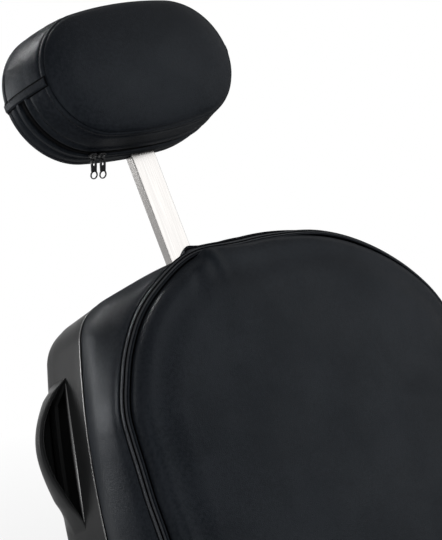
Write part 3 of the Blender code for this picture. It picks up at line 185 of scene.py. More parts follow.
def make_handling_haze():
    """Cloudy film from hands and cleaning cloths."""
    group, take, give = effect("handling_haze", (("Scale", 16.0),), ("Film", "Streak"))
    spot = object_spot(group)
    cloud = noise(group, spot, take.outputs["Scale"], 5.0, 0.6, 0.4)["Fac"]
    group.links.new(ranged(group, cloud, 0.38, 0.66), give.inputs["Film"])
    streak = reckon(group, "MULTIPLY", noise(group, spot, 240.0, 3.0)["Fac"], cloud)
    group.links.new(ranged(group, streak, 0.15, 0.38), give.inputs["Streak"])
    return group


def make_moulded_grain():
    """Even spark-eroded grain of moulded plastic, foam skin and rubber."""
    group, take, give = effect("moulded_grain", (("Scale", 2200.0),), ("Height", "Tone"))
    spot = object_spot(group)
    group.links.new(noise(group, spot, take.outputs["Scale"], 2.0)["Fac"], give.inputs["Height"])
    slow = noise(group, spot, 20.0, 4.0)["Fac"]
    group.links.new(ranged(group, slow, 0.35, 0.65), give.inputs["Tone"])
    return group


def make_brushed_lines():
    """Long fine scratches that run up the back's slope, as a belt leaves them on bar stock."""
    group, take, give = effect("brushed_lines", (("Fineness", 1500.0),), ("Height", "Tone"))
    spot = object_spot(group)
    laid = put(group, "ShaderNodeMapping", {"Vector": spot, "Rotation": (RECLINE, 0.0, 0.0)}, vector_type="POINT")
    drawn = put(group, "ShaderNodeMapping", {"Vector": laid.outputs["Vector"], "Scale": (1.0, 1.0, 0.012)})
    line = noise(group, drawn.outputs["Vector"], take.outputs["Fineness"], 3.0, 0.6)["Fac"]
    group.links.new(line, give.inputs["Height"])
    group.links.new(ranged(group, line, 0.3, 0.7), give.inputs["Tone"])
    return group


def make_floor_dust():
    """Dust that settles near the floor."""
    group, take, give = effect("floor_dust", (("Reach", 0.07),), ("Mask",))
    spot = object_spot(group)
    level = put(group, "ShaderNodeSeparateXYZ", {"Vector": spot}).outputs["Z"]
    share = reckon(group, "DIVIDE", level, take.outputs["Reach"])
    near = ranged(group, share, 0.0, 1.0, 1.0, 0.0)
    cloud = ranged(group, noise(group, spot, 60.0, 6.0, 0.7)["Fac"], 0.4, 0.7)
    group.links.new(reckon(group, "MULTIPLY", near, cloud), give.inputs["Mask"])
    return group


LEATHER_GRAIN = make_leather_grain()
HANDLING_HAZE = make_handling_haze()
MOULDED_GRAIN = make_moulded_grain()
BRUSHED_LINES = make_brushed_lines()
FLOOR_DUST = make_floor_dust()


# Finishes

def placed(tree, group, **values):
    node = tree.nodes.new("ShaderNodeGroup")
    node.node_tree = group
    for key, value in values.items():
        node.inputs[key.replace("_", " ")].default_value = value
    return node.outputs


def blank(name, **sockets):
    look = bpy.data.materials.new(name)
    look.use_nodes = True
    shader = look.node_tree.nodes["Principled BSDF"]
    for key, value in sockets.items():
        shader.inputs[key.replace("_", " ")].default_value = value
    return look, look.node_tree, shader


def mixed(tree, mask, dark, light):
    node = put(tree, "ShaderNodeMix", data_type="RGBA")
    tree.links.new(mask, node.inputs["Factor"])
    for label, colour in ((6, dark), (7, light)):
        node.inputs[label].default_value = (*colour, 1.0)
    return node.outputs[2]


def raise_bump(tree, shader, height, depth, strength=1.0):
    bump = put(tree, "ShaderNodeBump", {"Height": height, "Distance": depth, "Strength": strength})
    tree.links.new(bump.outputs["Normal"], shader.inputs["Normal"])


FLECK_TONE, FLECK_MATT = 0.60, 0.04


def leather(name, dark, light, rough=(0.36, 0.46), pebble=640.0, gloss=0.060, edge=0.45):
    """Grained leather; its pebbles scatter the light that only grazes it."""
    look, tree, shader = blank(name, Specular_IOR_Level=gloss, Specular_Tint=(0.80, 0.90, 1.0, 1.0))
    grain = placed(tree, LEATHER_GRAIN, Pebble_Scale=pebble)
    haze = placed(tree, HANDLING_HAZE)
    fleck = ranged(tree, grain["Fleck"], 0.0, 1.0, -FLECK_TONE, FLECK_TONE)
    tree.links.new(mixed(tree, reckon(tree, "ADD", grain["Tone"], fleck), dark, light), shader.inputs["Base Color"])
    slant = put(tree, "ShaderNodeLayerWeight", {"Blend": 0.5}).outputs["Facing"]
    grazed = ranged(tree, slant, 0.52, 0.78, 0.0, edge)
    matt = reckon(tree, "ADD", ranged(tree, haze["Film"], 0.0, 1.0, *rough), grazed)
    speckled = reckon(tree, "ADD", matt, ranged(tree, grain["Fleck"], 0.0, 1.0, -FLECK_MATT, FLECK_MATT))
    tree.links.new(speckled, shader.inputs["Roughness"])
    raise_bump(tree, shader, grain["Height"], 0.00035, 0.8)
    return look


def moulded(name, dark, light, rough, scale=2200.0, depth=0.00004, gloss=0.5):
    look, tree, shader = blank(name, Specular_IOR_Level=gloss)
    grain = placed(tree, MOULDED_GRAIN, Scale=scale)
    haze = placed(tree, HANDLING_HAZE)
    tree.links.new(mixed(tree, grain["Tone"], dark, light), shader.inputs["Base Color"])
    tree.links.new(ranged(tree, haze["Film"], 0.0, 1.0, *rough), shader.inputs["Roughness"])
    raise_bump(tree, shader, grain["Height"], depth)
    return look


def dusted(tree, colour, share, tint, **reach):
    """A colour under the dust that settles near the floor."""
    dust = placed(tree, FLOOR_DUST, **reach)
    cover = put(tree, "ShaderNodeMix", {"Factor": reckon(tree, "MULTIPLY", dust["Mask"], share)}, data_type="RGBA")
    tree.links.new(colour, cover.inputs[6])
    cover.inputs[7].default_value = (*tint, 1.0)
    return cover.outputs[2]


def plated(name, dark, light, rough, dusty=False):
    look, tree, shader = blank(name, Metallic=1.0)
    haze = placed(tree, HANDLING_HAZE, Scale=11.0)
    colour = mixed(tree, haze["Film"], light, dark)
    if dusty:
        colour = dusted(tree, colour, 0.25, (0.45, 0.43, 0.40))
    tree.links.new(colour, shader.inputs["Base Color"])
    tree.links.new(ranged(tree, haze["Streak"], 0.0, 1.0, *rough), shader.inputs["Roughness"])
    return look


def brushed(name, dark, light, rough):
    look, tree, shader = blank(name, Metallic=1.0)
    lines = placed(tree, BRUSHED_LINES)
    tree.links.new(mixed(tree, lines["Tone"], dark, light), shader.inputs["Base Color"])
    tree.links.new(ranged(tree, lines["Tone"], 0.0, 1.0, *rough), shader.inputs["Roughness"])
    raise_bump(tree, shader, lines["Height"], 0.00002, 0.6)
    return look


def coated(name, dark, light, rough, gloss, scale, dust, bump, **reach):
    """Powder coat or rubber; dust gives its share and tint, bump its depth and strength."""
    look, tree, shader = blank(name, Specular_IOR_Level=gloss)
    grain = placed(tree, MOULDED_GRAIN, Scale=scale)
    base = mixed(tree, grain["Tone"], dark, light)
    tree.links.new(dusted(tree, base, *dust, **reach), shader.inputs["Base Color"])
    tree.links.new(ranged(tree, grain["Tone"], 0.0, 1.0, *rough), shader.inputs["Roughness"])
    raise_bump(tree, shader, grain["Height"], *bump)
    return look


def plywood(name):
    look, tree, shader = blank(name, Specular_IOR_Level=0.3)
    spot = object_spot(tree)
    drawn = put(tree, "ShaderNodeMapping", {"Vector": spot, "Scale": (40.0, 4.0, 4.0)})
    rings = noise(tree, drawn.outputs["Vector"], 1.0, 6.0, swirl=1.2)["Fac"]
    mask = ranged(tree, rings, 0.35, 0.68)
    tree.links.new(mixed(tree, mask, (0.36, 0.24, 0.13), (0.52, 0.38, 0.22)), shader.inputs["Base Color"])
    tree.links.new(ranged(tree, mask, 0.0, 1.0, 0.62, 0.74), shader.inputs["Roughness"])
    raise_bump(tree, shader, rings, 0.0002)
    return look


def woven(name, dark, light, scale):
    """Twisted thread and zip tape."""
    look, tree, shader = blank(name, Specular_IOR_Level=0.015)
    spot = object_spot(tree)
    twill = put(tree, "ShaderNodeTexWave", {"Vector": spot, "Scale": scale, "Distortion": 1.0, "Detail": 2.0},
                bands_direction="DIAGONAL").outputs["Fac"]
    tree.links.new(mixed(tree, twill, dark, light), shader.inputs["Base Color"])
    tree.links.new(ranged(tree, twill, 0.0, 1.0, 0.70, 0.85), shader.inputs["Roughness"])
    raise_bump(tree, shader, twill, 0.0001)
    return look


LEATHER = leather("black_leather", (0.0026, 0.0033, 0.0046), (0.0060, 0.0071, 0.0091))
# the seam's folds: a lighter leather whose lighter colour is a painted highlight along the folds; its higher gloss is
# real
PAINTED_HIGHLIGHT_LEATHER = leather("seam_fold_painted_highlight", (0.012, 0.013, 0.015), (0.020, 0.021, 0.023), (0.32, 0.42), 900.0,
                       0.11, 0.2)
SHELL_PLASTIC = moulded("black_shell_plastic", (0.0105, 0.0108, 0.0112), (0.0135, 0.0138, 0.0142), (0.34, 0.44),
                        gloss=0.034)
RIM_DARK, RIM_LIGHT = (0.012, 0.012, 0.0125), (0.016, 0.016, 0.0165)
RIM_PLASTIC = moulded("black_rim_plastic", RIM_DARK, RIM_LIGHT, (0.14, 0.22), gloss=1.0)
EDGE_PLASTIC = moulded("black_edge_plastic", RIM_DARK, RIM_LIGHT, (0.24, 0.32), gloss=1.0)
KNOB_PLASTIC = moulded("black_knob_plastic", (0.012, 0.012, 0.013), (0.016, 0.016, 0.017), (0.30, 0.40))
ARM_FOAM = moulded("black_arm_foam", (0.014, 0.014, 0.0145), (0.019, 0.019, 0.0195), (0.52, 0.62), 900.0, 0.0001,
                   0.35)
BAR_STEEL = brushed("brushed_bar_steel", (0.21, 0.205, 0.20), (0.27, 0.262, 0.255), (0.15, 0.23))
CHROME = plated("bright_chrome", (0.74, 0.75, 0.76), (0.80, 0.81, 0.82), (0.05, 0.14), True)
ZINC = plated("zinc_plate", (0.46, 0.46, 0.45), (0.56, 0.56, 0.55), (0.28, 0.42))
BLACK_STEEL = coated("black_powder_coat", (0.012, 0.012, 0.0125), (0.017, 0.017, 0.0175), (0.38, 0.50), 0.5, 420.0,
                     (0.35, (0.20, 0.19, 0.18)), (0.00012, 0.6), Reach=0.05)
RUBBER = coated("black_rubber", (0.012, 0.012, 0.012), (0.018, 0.018, 0.018), (0.62, 0.76), 0.35, 900.0,
                (0.5, (0.16, 0.155, 0.15)), (0.00008, 1.0))
PLYWOOD = plywood("birch_plywood")
ZIP_METAL = moulded("black_zip_metal", (0.006, 0.006, 0.0065), (0.010, 0.010, 0.0105), (0.26, 0.36), 900.0, 0.00003,
                    0.16)
ZIP_TAPE = woven("black_zip_tape", (0.002, 0.002, 0.0022), (0.005, 0.005, 0.0055), 900.0)
THREAD = woven("black_thread", (0.012, 0.012, 0.013), (0.022, 0.022, 0.024), 1400.0)
# near-black painted shade for the seams' grooves and valleys, the tuck at the shell's rim, the zip's channel and the
# lap strips' edges
PAINTED_SHADE_BLACK = woven("painted_shade_black", (0.0010, 0.0010, 0.0011), (0.0018, 0.0018, 0.0020), 1100.0)


# Mesh helpers

def unit(ways):
    return ways / np.linalg.norm(ways, axis=-1, keepdims=True)


def full_turn(count):
    return np.linspace(0.0, 2.0 * math.pi, count, endpoint=False)


def run_along(points):
    """Length of the path up to each of its points."""
    return np.concatenate([[0.0], np.cumsum(np.linalg.norm(np.diff(points, axis=0), axis=1))])


def marked(points, run, marks):
    return np.column_stack([np.interp(marks, run, points[:, k]) for k in range(points.shape[1])])


def in_world(ways):
    """Directions in the plane of the back, as world directions."""
    return ways[:, 0:1] * ACROSS + ways[:, 1:2] * UP_BACK


def face_out(mesh, smooth=False):
    work = bmesh.new()
    work.from_mesh(mesh)
    bmesh.ops.recalc_face_normals(work, faces=work.faces[:])
    for face in work.faces:
        face.smooth = smooth
    work.to_mesh(mesh)
    work.free()


def ease_edges(thing, width, angle, harden):
    ease = thing.modifiers.new("eased_edges", "BEVEL")
    ease.width = width
    ease.segments = 2
    ease.limit_method = "ANGLE"
    ease.angle_limit = math.radians(angle)
    ease.harden_normals = harden


def piece(name, verts, faces, looks, body, slot=None, smooth=True, stands_for=(), shade=None):
    mesh = bpy.data.meshes.new(name)
    mesh.from_pydata(np.asarray(verts, dtype=float).tolist(), [], [list(f) for f in faces])
    looks = looks if isinstance(looks, (list, tuple)) else [looks]
    for look in looks:
        mesh.materials.append(look)
    if shade is not None:
        mesh.polygons.foreach_set("material_index", np.asarray(shade, dtype=np.int32))
    face_out(mesh, smooth)
    return seated(shown(name, mesh), body, stands_for)


def seated(thing, body, stands_for=()):
    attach(thing, body)
    if stands_for:
        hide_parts(*stands_for)
    return thing


def loft_faces(rows, count, looped=False):
    low = (np.arange(rows if looped else rows - 1) * count)[:, None]
    high = (((np.arange(rows if looped else rows - 1) + 1) % rows) * count)[:, None]
    i = np.arange(count)[None, :]
    k = (i + 1) % count
    return np.stack([low + i, low + k, high + k, high + i], axis=-1).reshape(-1, 4).tolist()


def prism_faces(count):
    return [list(range(count)), list(range(count, 2 * count))] + loft_faces(2, count)


def loft(name, rings, looks, body, looped=False, ring_looks=None, **more):
    """Skin over closed rings; the ends close with fans, or the last ring joins the first."""
    rings = np.asarray(rings, dtype=float)
    rows, count = rings.shape[:2]
    verts = rings.reshape(-1, 3)
    faces = loft_faces(rows, count, looped)
    shade = None
    if ring_looks is not None:
        marks = np.asarray(ring_looks)[: rows if looped else rows - 1]
        marks = marks[:, None] if marks.ndim == 1 else marks
        shade = np.broadcast_to(marks, (len(marks), count)).reshape(-1).tolist()
    if not looped:
        hubs = [rings[0].mean(axis=0), rings[-1].mean(axis=0)]
        verts = np.vstack([verts, hubs])
        for hub, row in ((rows * count, 0), (rows * count + 1, rows - 1)):
            faces += [(hub, row * count + i, row * count + (i + 1) % count) for i in range(count)]
        if shade is not None:
            shade += [int(marks[0].min())] * count + [int(marks[-1].min())] * count
    return piece(name, verts, faces, looks, body, shade=shade, **more)


def lathe(name, profile, look, body, slot, stands_for=(), count=128, at=None):
    """Turned piece about Z, or about the Z of a placing matrix; a profile that starts on the axis is closed there."""
    profile = np.asarray(profile, dtype=float)
    turn = full_turn(count)
    rings = []
    for r, z in profile:
        r = max(r, 1e-5)
        rings.append(np.column_stack([r * np.cos(turn), r * np.sin(turn), np.full(count, z)]))
    rings = np.array(rings)
    if at is not None:
        flat = rings.reshape(-1, 3)
        rings = (flat @ np.array(at.to_3x3()).T + np.array(at.translation)).reshape(rings.shape)
    thing = loft(name, rings, look, body, looped=bool(profile[0, 0] > 1e-6), slot=slot, stands_for=stands_for)
    sharpen(thing, 40.0)
    return thing


def rounded_profile(points, radius, steps=4, closed=True):
    """Turned profile whose corners are eased by a small radius."""
    points = [np.array(p, dtype=float) for p in points]
    eased = []
    for i, here in enumerate(points):
        before, after = points[i - 1], points[(i + 1) % len(points)]
        if not closed and i in (0, len(points) - 1):
            eased.append(here)
            continue
        back, on = before - here, after - here
        reach = min(radius, 0.45 * np.linalg.norm(back), 0.45 * np.linalg.norm(on))
        back, on = unit(back), unit(on)
        for t in np.linspace(0.0, 1.0, steps + 1):
            eased.append(here + back * reach * (1 - t) ** 2 + on * reach * t ** 2)
    return np.array(eased)


def turned(name, points, ease, look, body, slot, node, count=96, steps=4, at=None):
    """Turned piece with eased corners."""
    profile = rounded_profile(points, ease, steps, points[0][0] > 0.0)
    lathe(name, profile, look, body, slot, (node,), count, at)


def sharpen(thing, angle):
    for face in thing.data.polygons:
        face.use_smooth = True
    thing.data.set_sharp_from_angle(angle=math.radians(angle))


def evenly(points, count):
    loop = np.vstack([points, points[:1]])
    run = run_along(loop)
    return marked(loop, run, np.linspace(0.0, run[-1], count, endpoint=False))


def outward(points):
    ahead = np.roll(points, -1, axis=0) - np.roll(points, 1, axis=0)
    return unit(np.column_stack([ahead[:, 1], -ahead[:, 0]]))


def through(stations, per):
    """Smooth run of values through the stations, a few steps between each pair."""
    s = np.asarray(stations, dtype=float)
    s = np.vstack([2 * s[0] - s[1], s, 2 * s[-1] - s[-2]])
    run = []
    for p0, p1, p2, p3 in zip(s, s[1:], s[2:], s[3:]):
        for t in np.linspace(0.0, 1.0, per, endpoint=False):
            run.append(0.5 * (2 * p1 + (p2 - p0) * t + (2 * p0 - 5 * p1 + 4 * p2 - p3) * t ** 2
                              + (3 * p1 - p0 - 3 * p2 + p3) * t ** 3))
    run.append(s[-2])
    return np.array(run)


def on_back(points):
    p = np.asarray(points, dtype=float)
    return HINGE + p[..., 0:1] * ACROSS + p[..., 1:2] * UP_BACK + p[..., 2:3] * FORWARD


def soft_step(x, low, high):
    t = np.clip((x - low) / (high - low), 0.0, 1.0)
    return t * t * (3.0 - 2.0 * t)


# soft waves of the covers: length, seed, height
PANEL_WAVE, BORDER_WAVE = (0.17, 5, 0.0011), (0.14, 11, 0.0008)
BAND_WAVE, FACE_WAVE = (0.09, 21, 0.0005), (0.11, 8, 0.0005)
SEAT_WAVE, SEAT_BORDER_WAVE = (0.19, 3, 0.0014), (0.13, 17, 0.0007)


def ripple(points, size, seed, height):
    """Slow waves over a sewn surface, a sum of a few fixed sines."""
    rng = np.random.default_rng(seed)
    total = np.zeros(points.shape[:-1])
    for _ in range(7):
        way = rng.normal(size=3)
        way = way / np.linalg.norm(way) * rng.uniform(0.6, 1.7) * 2.0 * math.pi / size
        total = total + np.sin(points @ way + rng.uniform(0.0, 6.28)) * rng.uniform(0.4, 1.0)
    return total / 3.2 * height


def stitches(name, path, normals, body, closed=True, length=0.0030, gap=0.0014, thick=0.00042, sink=0.00015):
    """One row of thread, each stitch a small rounded bar whose ends dive into the leather."""
    path = np.asarray(path)
    loop = np.vstack([path, path[:1]]) if closed else path
    lift = np.vstack([normals, normals[:1]]) if closed else np.asarray(normals)
    run = run_along(loop)
    many = max(1, int(run[-1] / (length + gap)))
    middle = (np.arange(many) + 0.5) * run[-1] / many
    sides = 6
    rounds = ((-0.5, 0.35, -1.0), (-0.34, 0.95, 0.0), (0.0, 1.0, 0.25), (0.34, 0.95, 0.0), (0.5, 0.35, -1.0))
    turn = full_turn(sides)
    verts, faces = [], []
    ahead = np.gradient(loop, axis=0)
    for spot, way, up in zip(*(marked(values, run, middle) for values in (loop, ahead, lift))):
        way = unit(way)
        up = unit(up - way * (up @ way))
        side = np.cross(way, up)
        start = len(verts)
        for share, fat, rise in rounds:
            centre = spot + way * share * length + up * (rise * thick - sink)
            for a in turn:
                verts.append(centre + (side * math.cos(a) + up * math.sin(a)) * thick * fat)
        last = start + (len(rounds) - 1) * sides
        faces += [[start + i for i in quad] for quad in loft_faces(len(rounds), sides)]
        faces += [[end + i for i in range(sides)] for end in (start, last)]
    return piece(name, verts, faces, THREAD, body, "leather")


def cord_bead(name, path, ups, radius, look, body, slot, closed=False, sides=10):
    """Round bead laid along a path."""
    path = np.asarray(path)
    if closed:
        ahead = np.roll(path, -1, axis=0) - np.roll(path, 1, axis=0)
    else:
        ahead = np.gradient(path, axis=0)
    ahead = unit(ahead)
    up = unit(np.asarray(ups) - ahead * np.sum(np.asarray(ups) * ahead, axis=1)[:, None])
    side = np.cross(ahead, up)
    radius = np.broadcast_to(np.asarray(radius, dtype=float), (len(path),))[:, None]
    rings = np.stack([path + (side * math.cos(a) + up * math.sin(a)) * radius for a in full_turn(sides)], axis=1)
    return loft(name, rings, look, body, looped=closed, slot=slot)


def refined(node, look, body, bevel=0.0008, angle=35.0):
    """A rigid solid with its flat faces joined, its edges eased and its round faces smoothed."""
    mesh = SOLIDS[node].data.copy()
    mesh.name = node + "_finished"
    mesh.materials.clear()
    mesh.materials.append(look)
    work = bmesh.new()
    work.from_mesh(mesh)
    bmesh.ops.remove_doubles(work, verts=work.verts[:], dist=2e-6)
    bmesh.ops.dissolve_limit(work, angle_limit=math.radians(1.0), verts=work.verts[:], edges=work.edges[:])
    bmesh.ops.recalc_face_normals(work, faces=work.faces[:])
    for face in work.faces:
        face.material_index = 0
    work.to_mesh(mesh)
    work.free()
    thing = shown(node + "_finished", mesh)
    sharpen(thing, angle)
    ease_edges(thing, bevel, angle, True)
    return seated(thing, body, (node,))


# Back cushion and shell outlines, counter-clockwise from the middle of the top

FINE_MARKS, CROWD, CROWD_AT, CROWD_WIDE = 20000, 3.0, 0.047, 0.016


def evenly_from_top(points, count):
    """Marks from the top's middle, closer together where the tab stands."""
    top = int(np.argmax(points[:, 1] - 0.001 * np.abs(points[:, 0])))
    fine = evenly(np.roll(points, -top, axis=0), FINE_MARKS)
    share = np.linspace(0.0, 1.0, FINE_MARKS, endpoint=False)
    crowd = np.cumsum(1.0 + CROWD * np.exp(-((share - CROWD_AT) / CROWD_WIDE) ** 2))
    crowd = (crowd - crowd[0]) / crowd[-1]
    picks = np.searchsorted(crowd, np.linspace(0.0, 1.0, count, endpoint=False))
    return fine[picks]


def seam_outline(count):
    points = []
    shoulder = BACK_TOP - BACK_ARCH
    for a in np.linspace(0.0, math.pi, 361):
        points.append((BACK_HALF * math.cos(a), shoulder + BACK_ARCH * math.sin(a)))
    low_half = BACK_HALF + BACK_SPREAD * (shoulder - BACK_LOW - BACK_CORNER)
    for x, turn in ((-1.0, math.pi), (1.0, 1.5 * math.pi)):
        for a in np.linspace(turn, turn + 0.5 * math.pi, 61):
            points.append((x * (low_half - BACK_CORNER) + BACK_CORNER * math.cos(a),
                           BACK_LOW + BACK_CORNER + BACK_CORNER * math.sin(a)))
    return evenly_from_top(np.array(points), count)


def rounded_meet(first, second, radius, steps=41):
    """Two crossing curves joined by an arc on their inner side; each runs counter-clockwise."""
    ways = []
    for curve in (first, second):
        run = np.gradient(curve, axis=0)
        ways.append(unit(np.column_stack([-run[:, 1], run[:, 0]])))
    inner_a, inner_b = first + ways[0] * radius, second + ways[1] * radius
    away = np.linalg.norm(inner_a[:, None, :] - inner_b[None, :, :], axis=2)
    i, j = np.unravel_index(int(np.argmin(away)), away.shape)
    centre = 0.5 * (inner_a[i] + inner_b[j])
    start = math.atan2(*(first[i] - centre)[::-1])
    end = math.atan2(*(second[j] - centre)[::-1])
    while end < start:
        end += 2.0 * math.pi
    bend = [centre + radius * np.array((math.cos(a), math.sin(a))) for a in np.linspace(start, end, steps)]
    return i, j, bend


def shell_outline(count):
    b = np.linspace(SHELL_LOW, SHELL_TOP, 840)
    side = np.column_stack([SHELL_HALF - SHELL_SIDE_DRAW * (b - SHELL_WAIST) ** 2, b])
    x = np.linspace(SHELL_HALF, 0.0, 600)
    top = np.column_stack([x, SHELL_TOP - SHELL_TOP_DROP * x ** 2])
    base = np.column_stack([x[::-1], np.full(len(x), SHELL_LOW)])
    k, i, corner = rounded_meet(base, side, SHELL_CORNER)
    m, n, shoulder = rounded_meet(side, top, SHELL_SHOULDER)
    half = np.vstack([base[:k:3], corner, side[i + 1:m:3], shoulder, top[n + 1::3], top[-1:]])
    other = half[::-1][1:-1] * np.array((-1.0, 1.0))
    return evenly_from_top(np.vstack([half, other]), count)


# The seam pulls in at the sitter's right shoulder, and the panel's top is drawn up beside the bar
SIDE_B = (0.240, 0.308, 0.345, 0.386, 0.406, 0.426, 0.446, 0.464, 0.483, 0.501, 0.519, 0.540, 0.552, 0.570)
SIDE_IN = (0.0, 0.0020, 0.0008, 0.0024, 0.0026, 0.0042, 0.0072, 0.0100, 0.0094, 0.0086, 0.0050, 0.0015, 0.0006,
           0.0)
FAR_B = (0.300, 0.360, 0.430, 0.454, 0.474, 0.491, 0.506)
FAR_OUT = (0.0, 0.0025, 0.0045, 0.0043, 0.0018, 0.0009, 0.0)
LIFT_X = (-0.160, -0.130, -0.110, -0.095, -0.082, -0.066, -0.050, -0.030, -0.016, 0.000, 0.050, 0.100, 0.125, 0.160,
          0.200)
LIFT_B = (0.0, 0.0006, 0.0018, 0.0034, 0.0046, 0.0046, 0.0024, -0.0018, -0.0040, -0.0050, -0.0030, 0.0026, 0.0040,
          0.0044, 0.0050)


def eased_run(x, marks, values, blur):
    """Values between marks, with their corners rounded."""
    grid = np.arange(marks[0] - 0.05, marks[-1] + 0.05, 0.00025)
    bell = np.exp(-0.5 * (np.arange(-4.0 * blur, 4.0 * blur, 0.00025) / blur) ** 2)
    return np.interp(x, grid, np.convolve(np.interp(grid, marks, values), bell / bell.sum(), mode="same"))


ROUND_BACK, SEAM_BLUR = 720, 0.007
PLAIN_LINE = seam_outline(ROUND_BACK)
for side, marks, values in ((-1.0, SIDE_B, SIDE_IN), (1.0, FAR_B, FAR_OUT)):
    shift = eased_run(PLAIN_LINE[:, 1], marks, values, SEAM_BLUR)
    PLAIN_LINE[:, 0] += shift * soft_step(side * PLAIN_LINE[:, 0], 0.08, 0.12)
TOP_RUN = soft_step(outward(PLAIN_LINE)[:, 1], 0.2, 0.6)
LIFT = eased_run(PLAIN_LINE[:, 0], LIFT_X, LIFT_B, SEAM_BLUR) * TOP_RUN
SEAM_LINE = PLAIN_LINE + np.column_stack([np.zeros(ROUND_BACK), LIFT])
SEAM_NORMAL = outward(SEAM_LINE)
SHELL_LINE = shell_outline(ROUND_BACK)
SHELL_NORMAL = outward(SHELL_LINE)
BACK_MIDDLE = np.array([0.0, 0.5 * (BACK_TOP + BACK_LOW)])


def shell_out(f):
    turn = SHELL_TURN * max(0.0, SHELL_TURN_F - f) / (SHELL_TURN_F - SHELL_REAR_F)
    return -SHELL_TAPER * (RIM_F - f) - turn


def shell_ring(offset, f, shrink=1.0):
    flat = SHELL_LINE + SHELL_NORMAL * offset
    flat = BACK_MIDDLE + (flat - BACK_MIDDLE) * shrink
    return np.column_stack([flat, np.full(ROUND_BACK, f)])


def leaned(flat, f, share=1.0):
    """The seam's plane leans forward going down the back."""
    return np.column_stack([flat, f + SEAM_LEAN * (SEAM_LEVEL - flat[:, 1]) * share])


def seam_ring(toward_shell, offset, f):
    flat = SEAM_LINE + (SHELL_LINE - SEAM_LINE) * toward_shell
    away = outward(flat)
    ease = 1.0 - TOP_EASE * (1.0 - math.exp(-toward_shell / 0.12)) * np.clip(away[:, 1:2], 0.0, 1.0)
    return leaned(flat + away * offset * ease, f, 1.0 - toward_shell)


# Beside the bar the border stands up in a small tab; from there the panel's top edge folds over the seam

FOLD_X = (-0.074, -0.070, -0.064, -0.055, -0.048, -0.030, -0.016, 0.000, 0.030, 0.050, 0.100, 0.140)
FOLD_OVER = (0.0, 0.0020, 0.0062, 0.0064, 0.0058, 0.0050, 0.0042, 0.0036, 0.0028, 0.0022, 0.0012, 0.0)
FOLD = eased_run(PLAIN_LINE[:, 0], FOLD_X, FOLD_OVER, 0.0022) * TOP_RUN
TAB_X = (-0.0752, -0.0735, -0.0722, -0.0704, -0.0680, -0.0650, -0.0600, -0.0540, -0.0300, 0.0000, 0.0500, 0.1000,
         0.1600)
TAB_RISE = (0.0, 0.0020, 0.0068, 0.0092, 0.0097, 0.0090, 0.0068, 0.0045, 0.0002, -0.0018, -0.0010, 0.0002, 0.0)
TAB = eased_run(PLAIN_LINE[:, 0], TAB_X, TAB_RISE, 0.0008) * TOP_RUN
TAB_OVER = np.maximum(TAB - LIFT, 0.0)


def tabbed(ring, rise, back=0.0):
    ring = ring.copy()
    ring[:, 1] += rise
    ring[:, 2] -= TAB_OVER * back
    return ring


# At the sitter's left shoulder the panel's edge is drawn in and leaves the folds in sight
DRAWN_IN = 0.0036 * soft_step(PLAIN_LINE[:, 0], 0.04, 0.12) * soft_step(PLAIN_LINE[:, 1], 0.36, 0.44)
# the front panel's edge, out of the groove and over onto its face: inset, rise, share of the fold
PANEL_EDGE = ((0.0004, -0.0098, 0.05), (0.0008, -0.0072, 0.30), (0.0013, -0.0046, 0.62), (0.0020, -0.0018, 0.90),
              (0.0032, 0.0006, 1.0), (0.0048, 0.0026, 1.0), (0.0068, 0.0044, 0.90), (0.0092, 0.0058, 0.70),
              (0.0118, 0.0068, 0.50), (0.0150, 0.0074, 0.32), (0.0190, 0.0077, 0.18), (0.0240, 0.0082, 0.05),
              (0.0295, 0.0093, 0.0), (0.0355, 0.0110, 0.0))
EDGE_DEEP = PANEL_EDGE[-1][0]


def panel_ring(inset, rise, fold):
    drawn = DRAWN_IN * (1.0 - inset / EDGE_DEEP)
    flat = SEAM_LINE + SEAM_NORMAL * (fold * FOLD - inset - drawn)[:, None]
    return leaned(flat, SEAM_F + rise + 0.30 * fold * FOLD)


CREASES = (
    (((-0.070, 0.574), (-0.066, 0.562), (-0.064, 0.548), (-0.068, 0.525)), 0.0016, 0.0050),
    (((-0.062, 0.574), (-0.055, 0.562), (-0.052, 0.550), (-0.055, 0.530)), -0.0021, 0.0048),
    (((-0.084, 0.560), (-0.092, 0.535), (-0.106, 0.500)), 0.0014, 0.0065),
)


def crease_depth(flat):
    depth = np.zeros(len(flat))
    for path, deep, wide in CREASES:
        path = np.array(path)
        best = np.full(len(flat), 1e9)
        along = np.zeros(len(flat))
        for i, (p, q) in enumerate(zip(path, path[1:])):
            t = np.clip(((flat - p) @ (q - p)) / ((q - p) @ (q - p)), 0.0, 1.0)
            away = np.linalg.norm(flat - (p + t[:, None] * (q - p)), axis=1)
            nearer = away < best
            best = np.where(nearer, away, best)
            along = np.where(nearer, (i + t) / (len(path) - 1), along)
        fade = (1.0 - along) ** 1.2
        depth += deep * fade * (np.exp(-(best / wide) ** 2) - 0.45 * np.exp(-((best - 2.0 * wide) / wide) ** 2))
    return depth


# looks of the sewn rows: plain leather, a painted highlight on the folds, painted shade in the grooves
PLAIN, PAINTED_FOLD_HIGHLIGHT, PAINTED_SHADE_ROW = 0, 1, 2
# a short pleat runs along the tab: offset, rise, share of the tab, way back
PLEAT = ((0.0091, -0.0141, 0.93, 0.10), (0.0089, -0.0141, 0.84, 0.42), (0.0088, -0.0140, 0.80, 0.10))
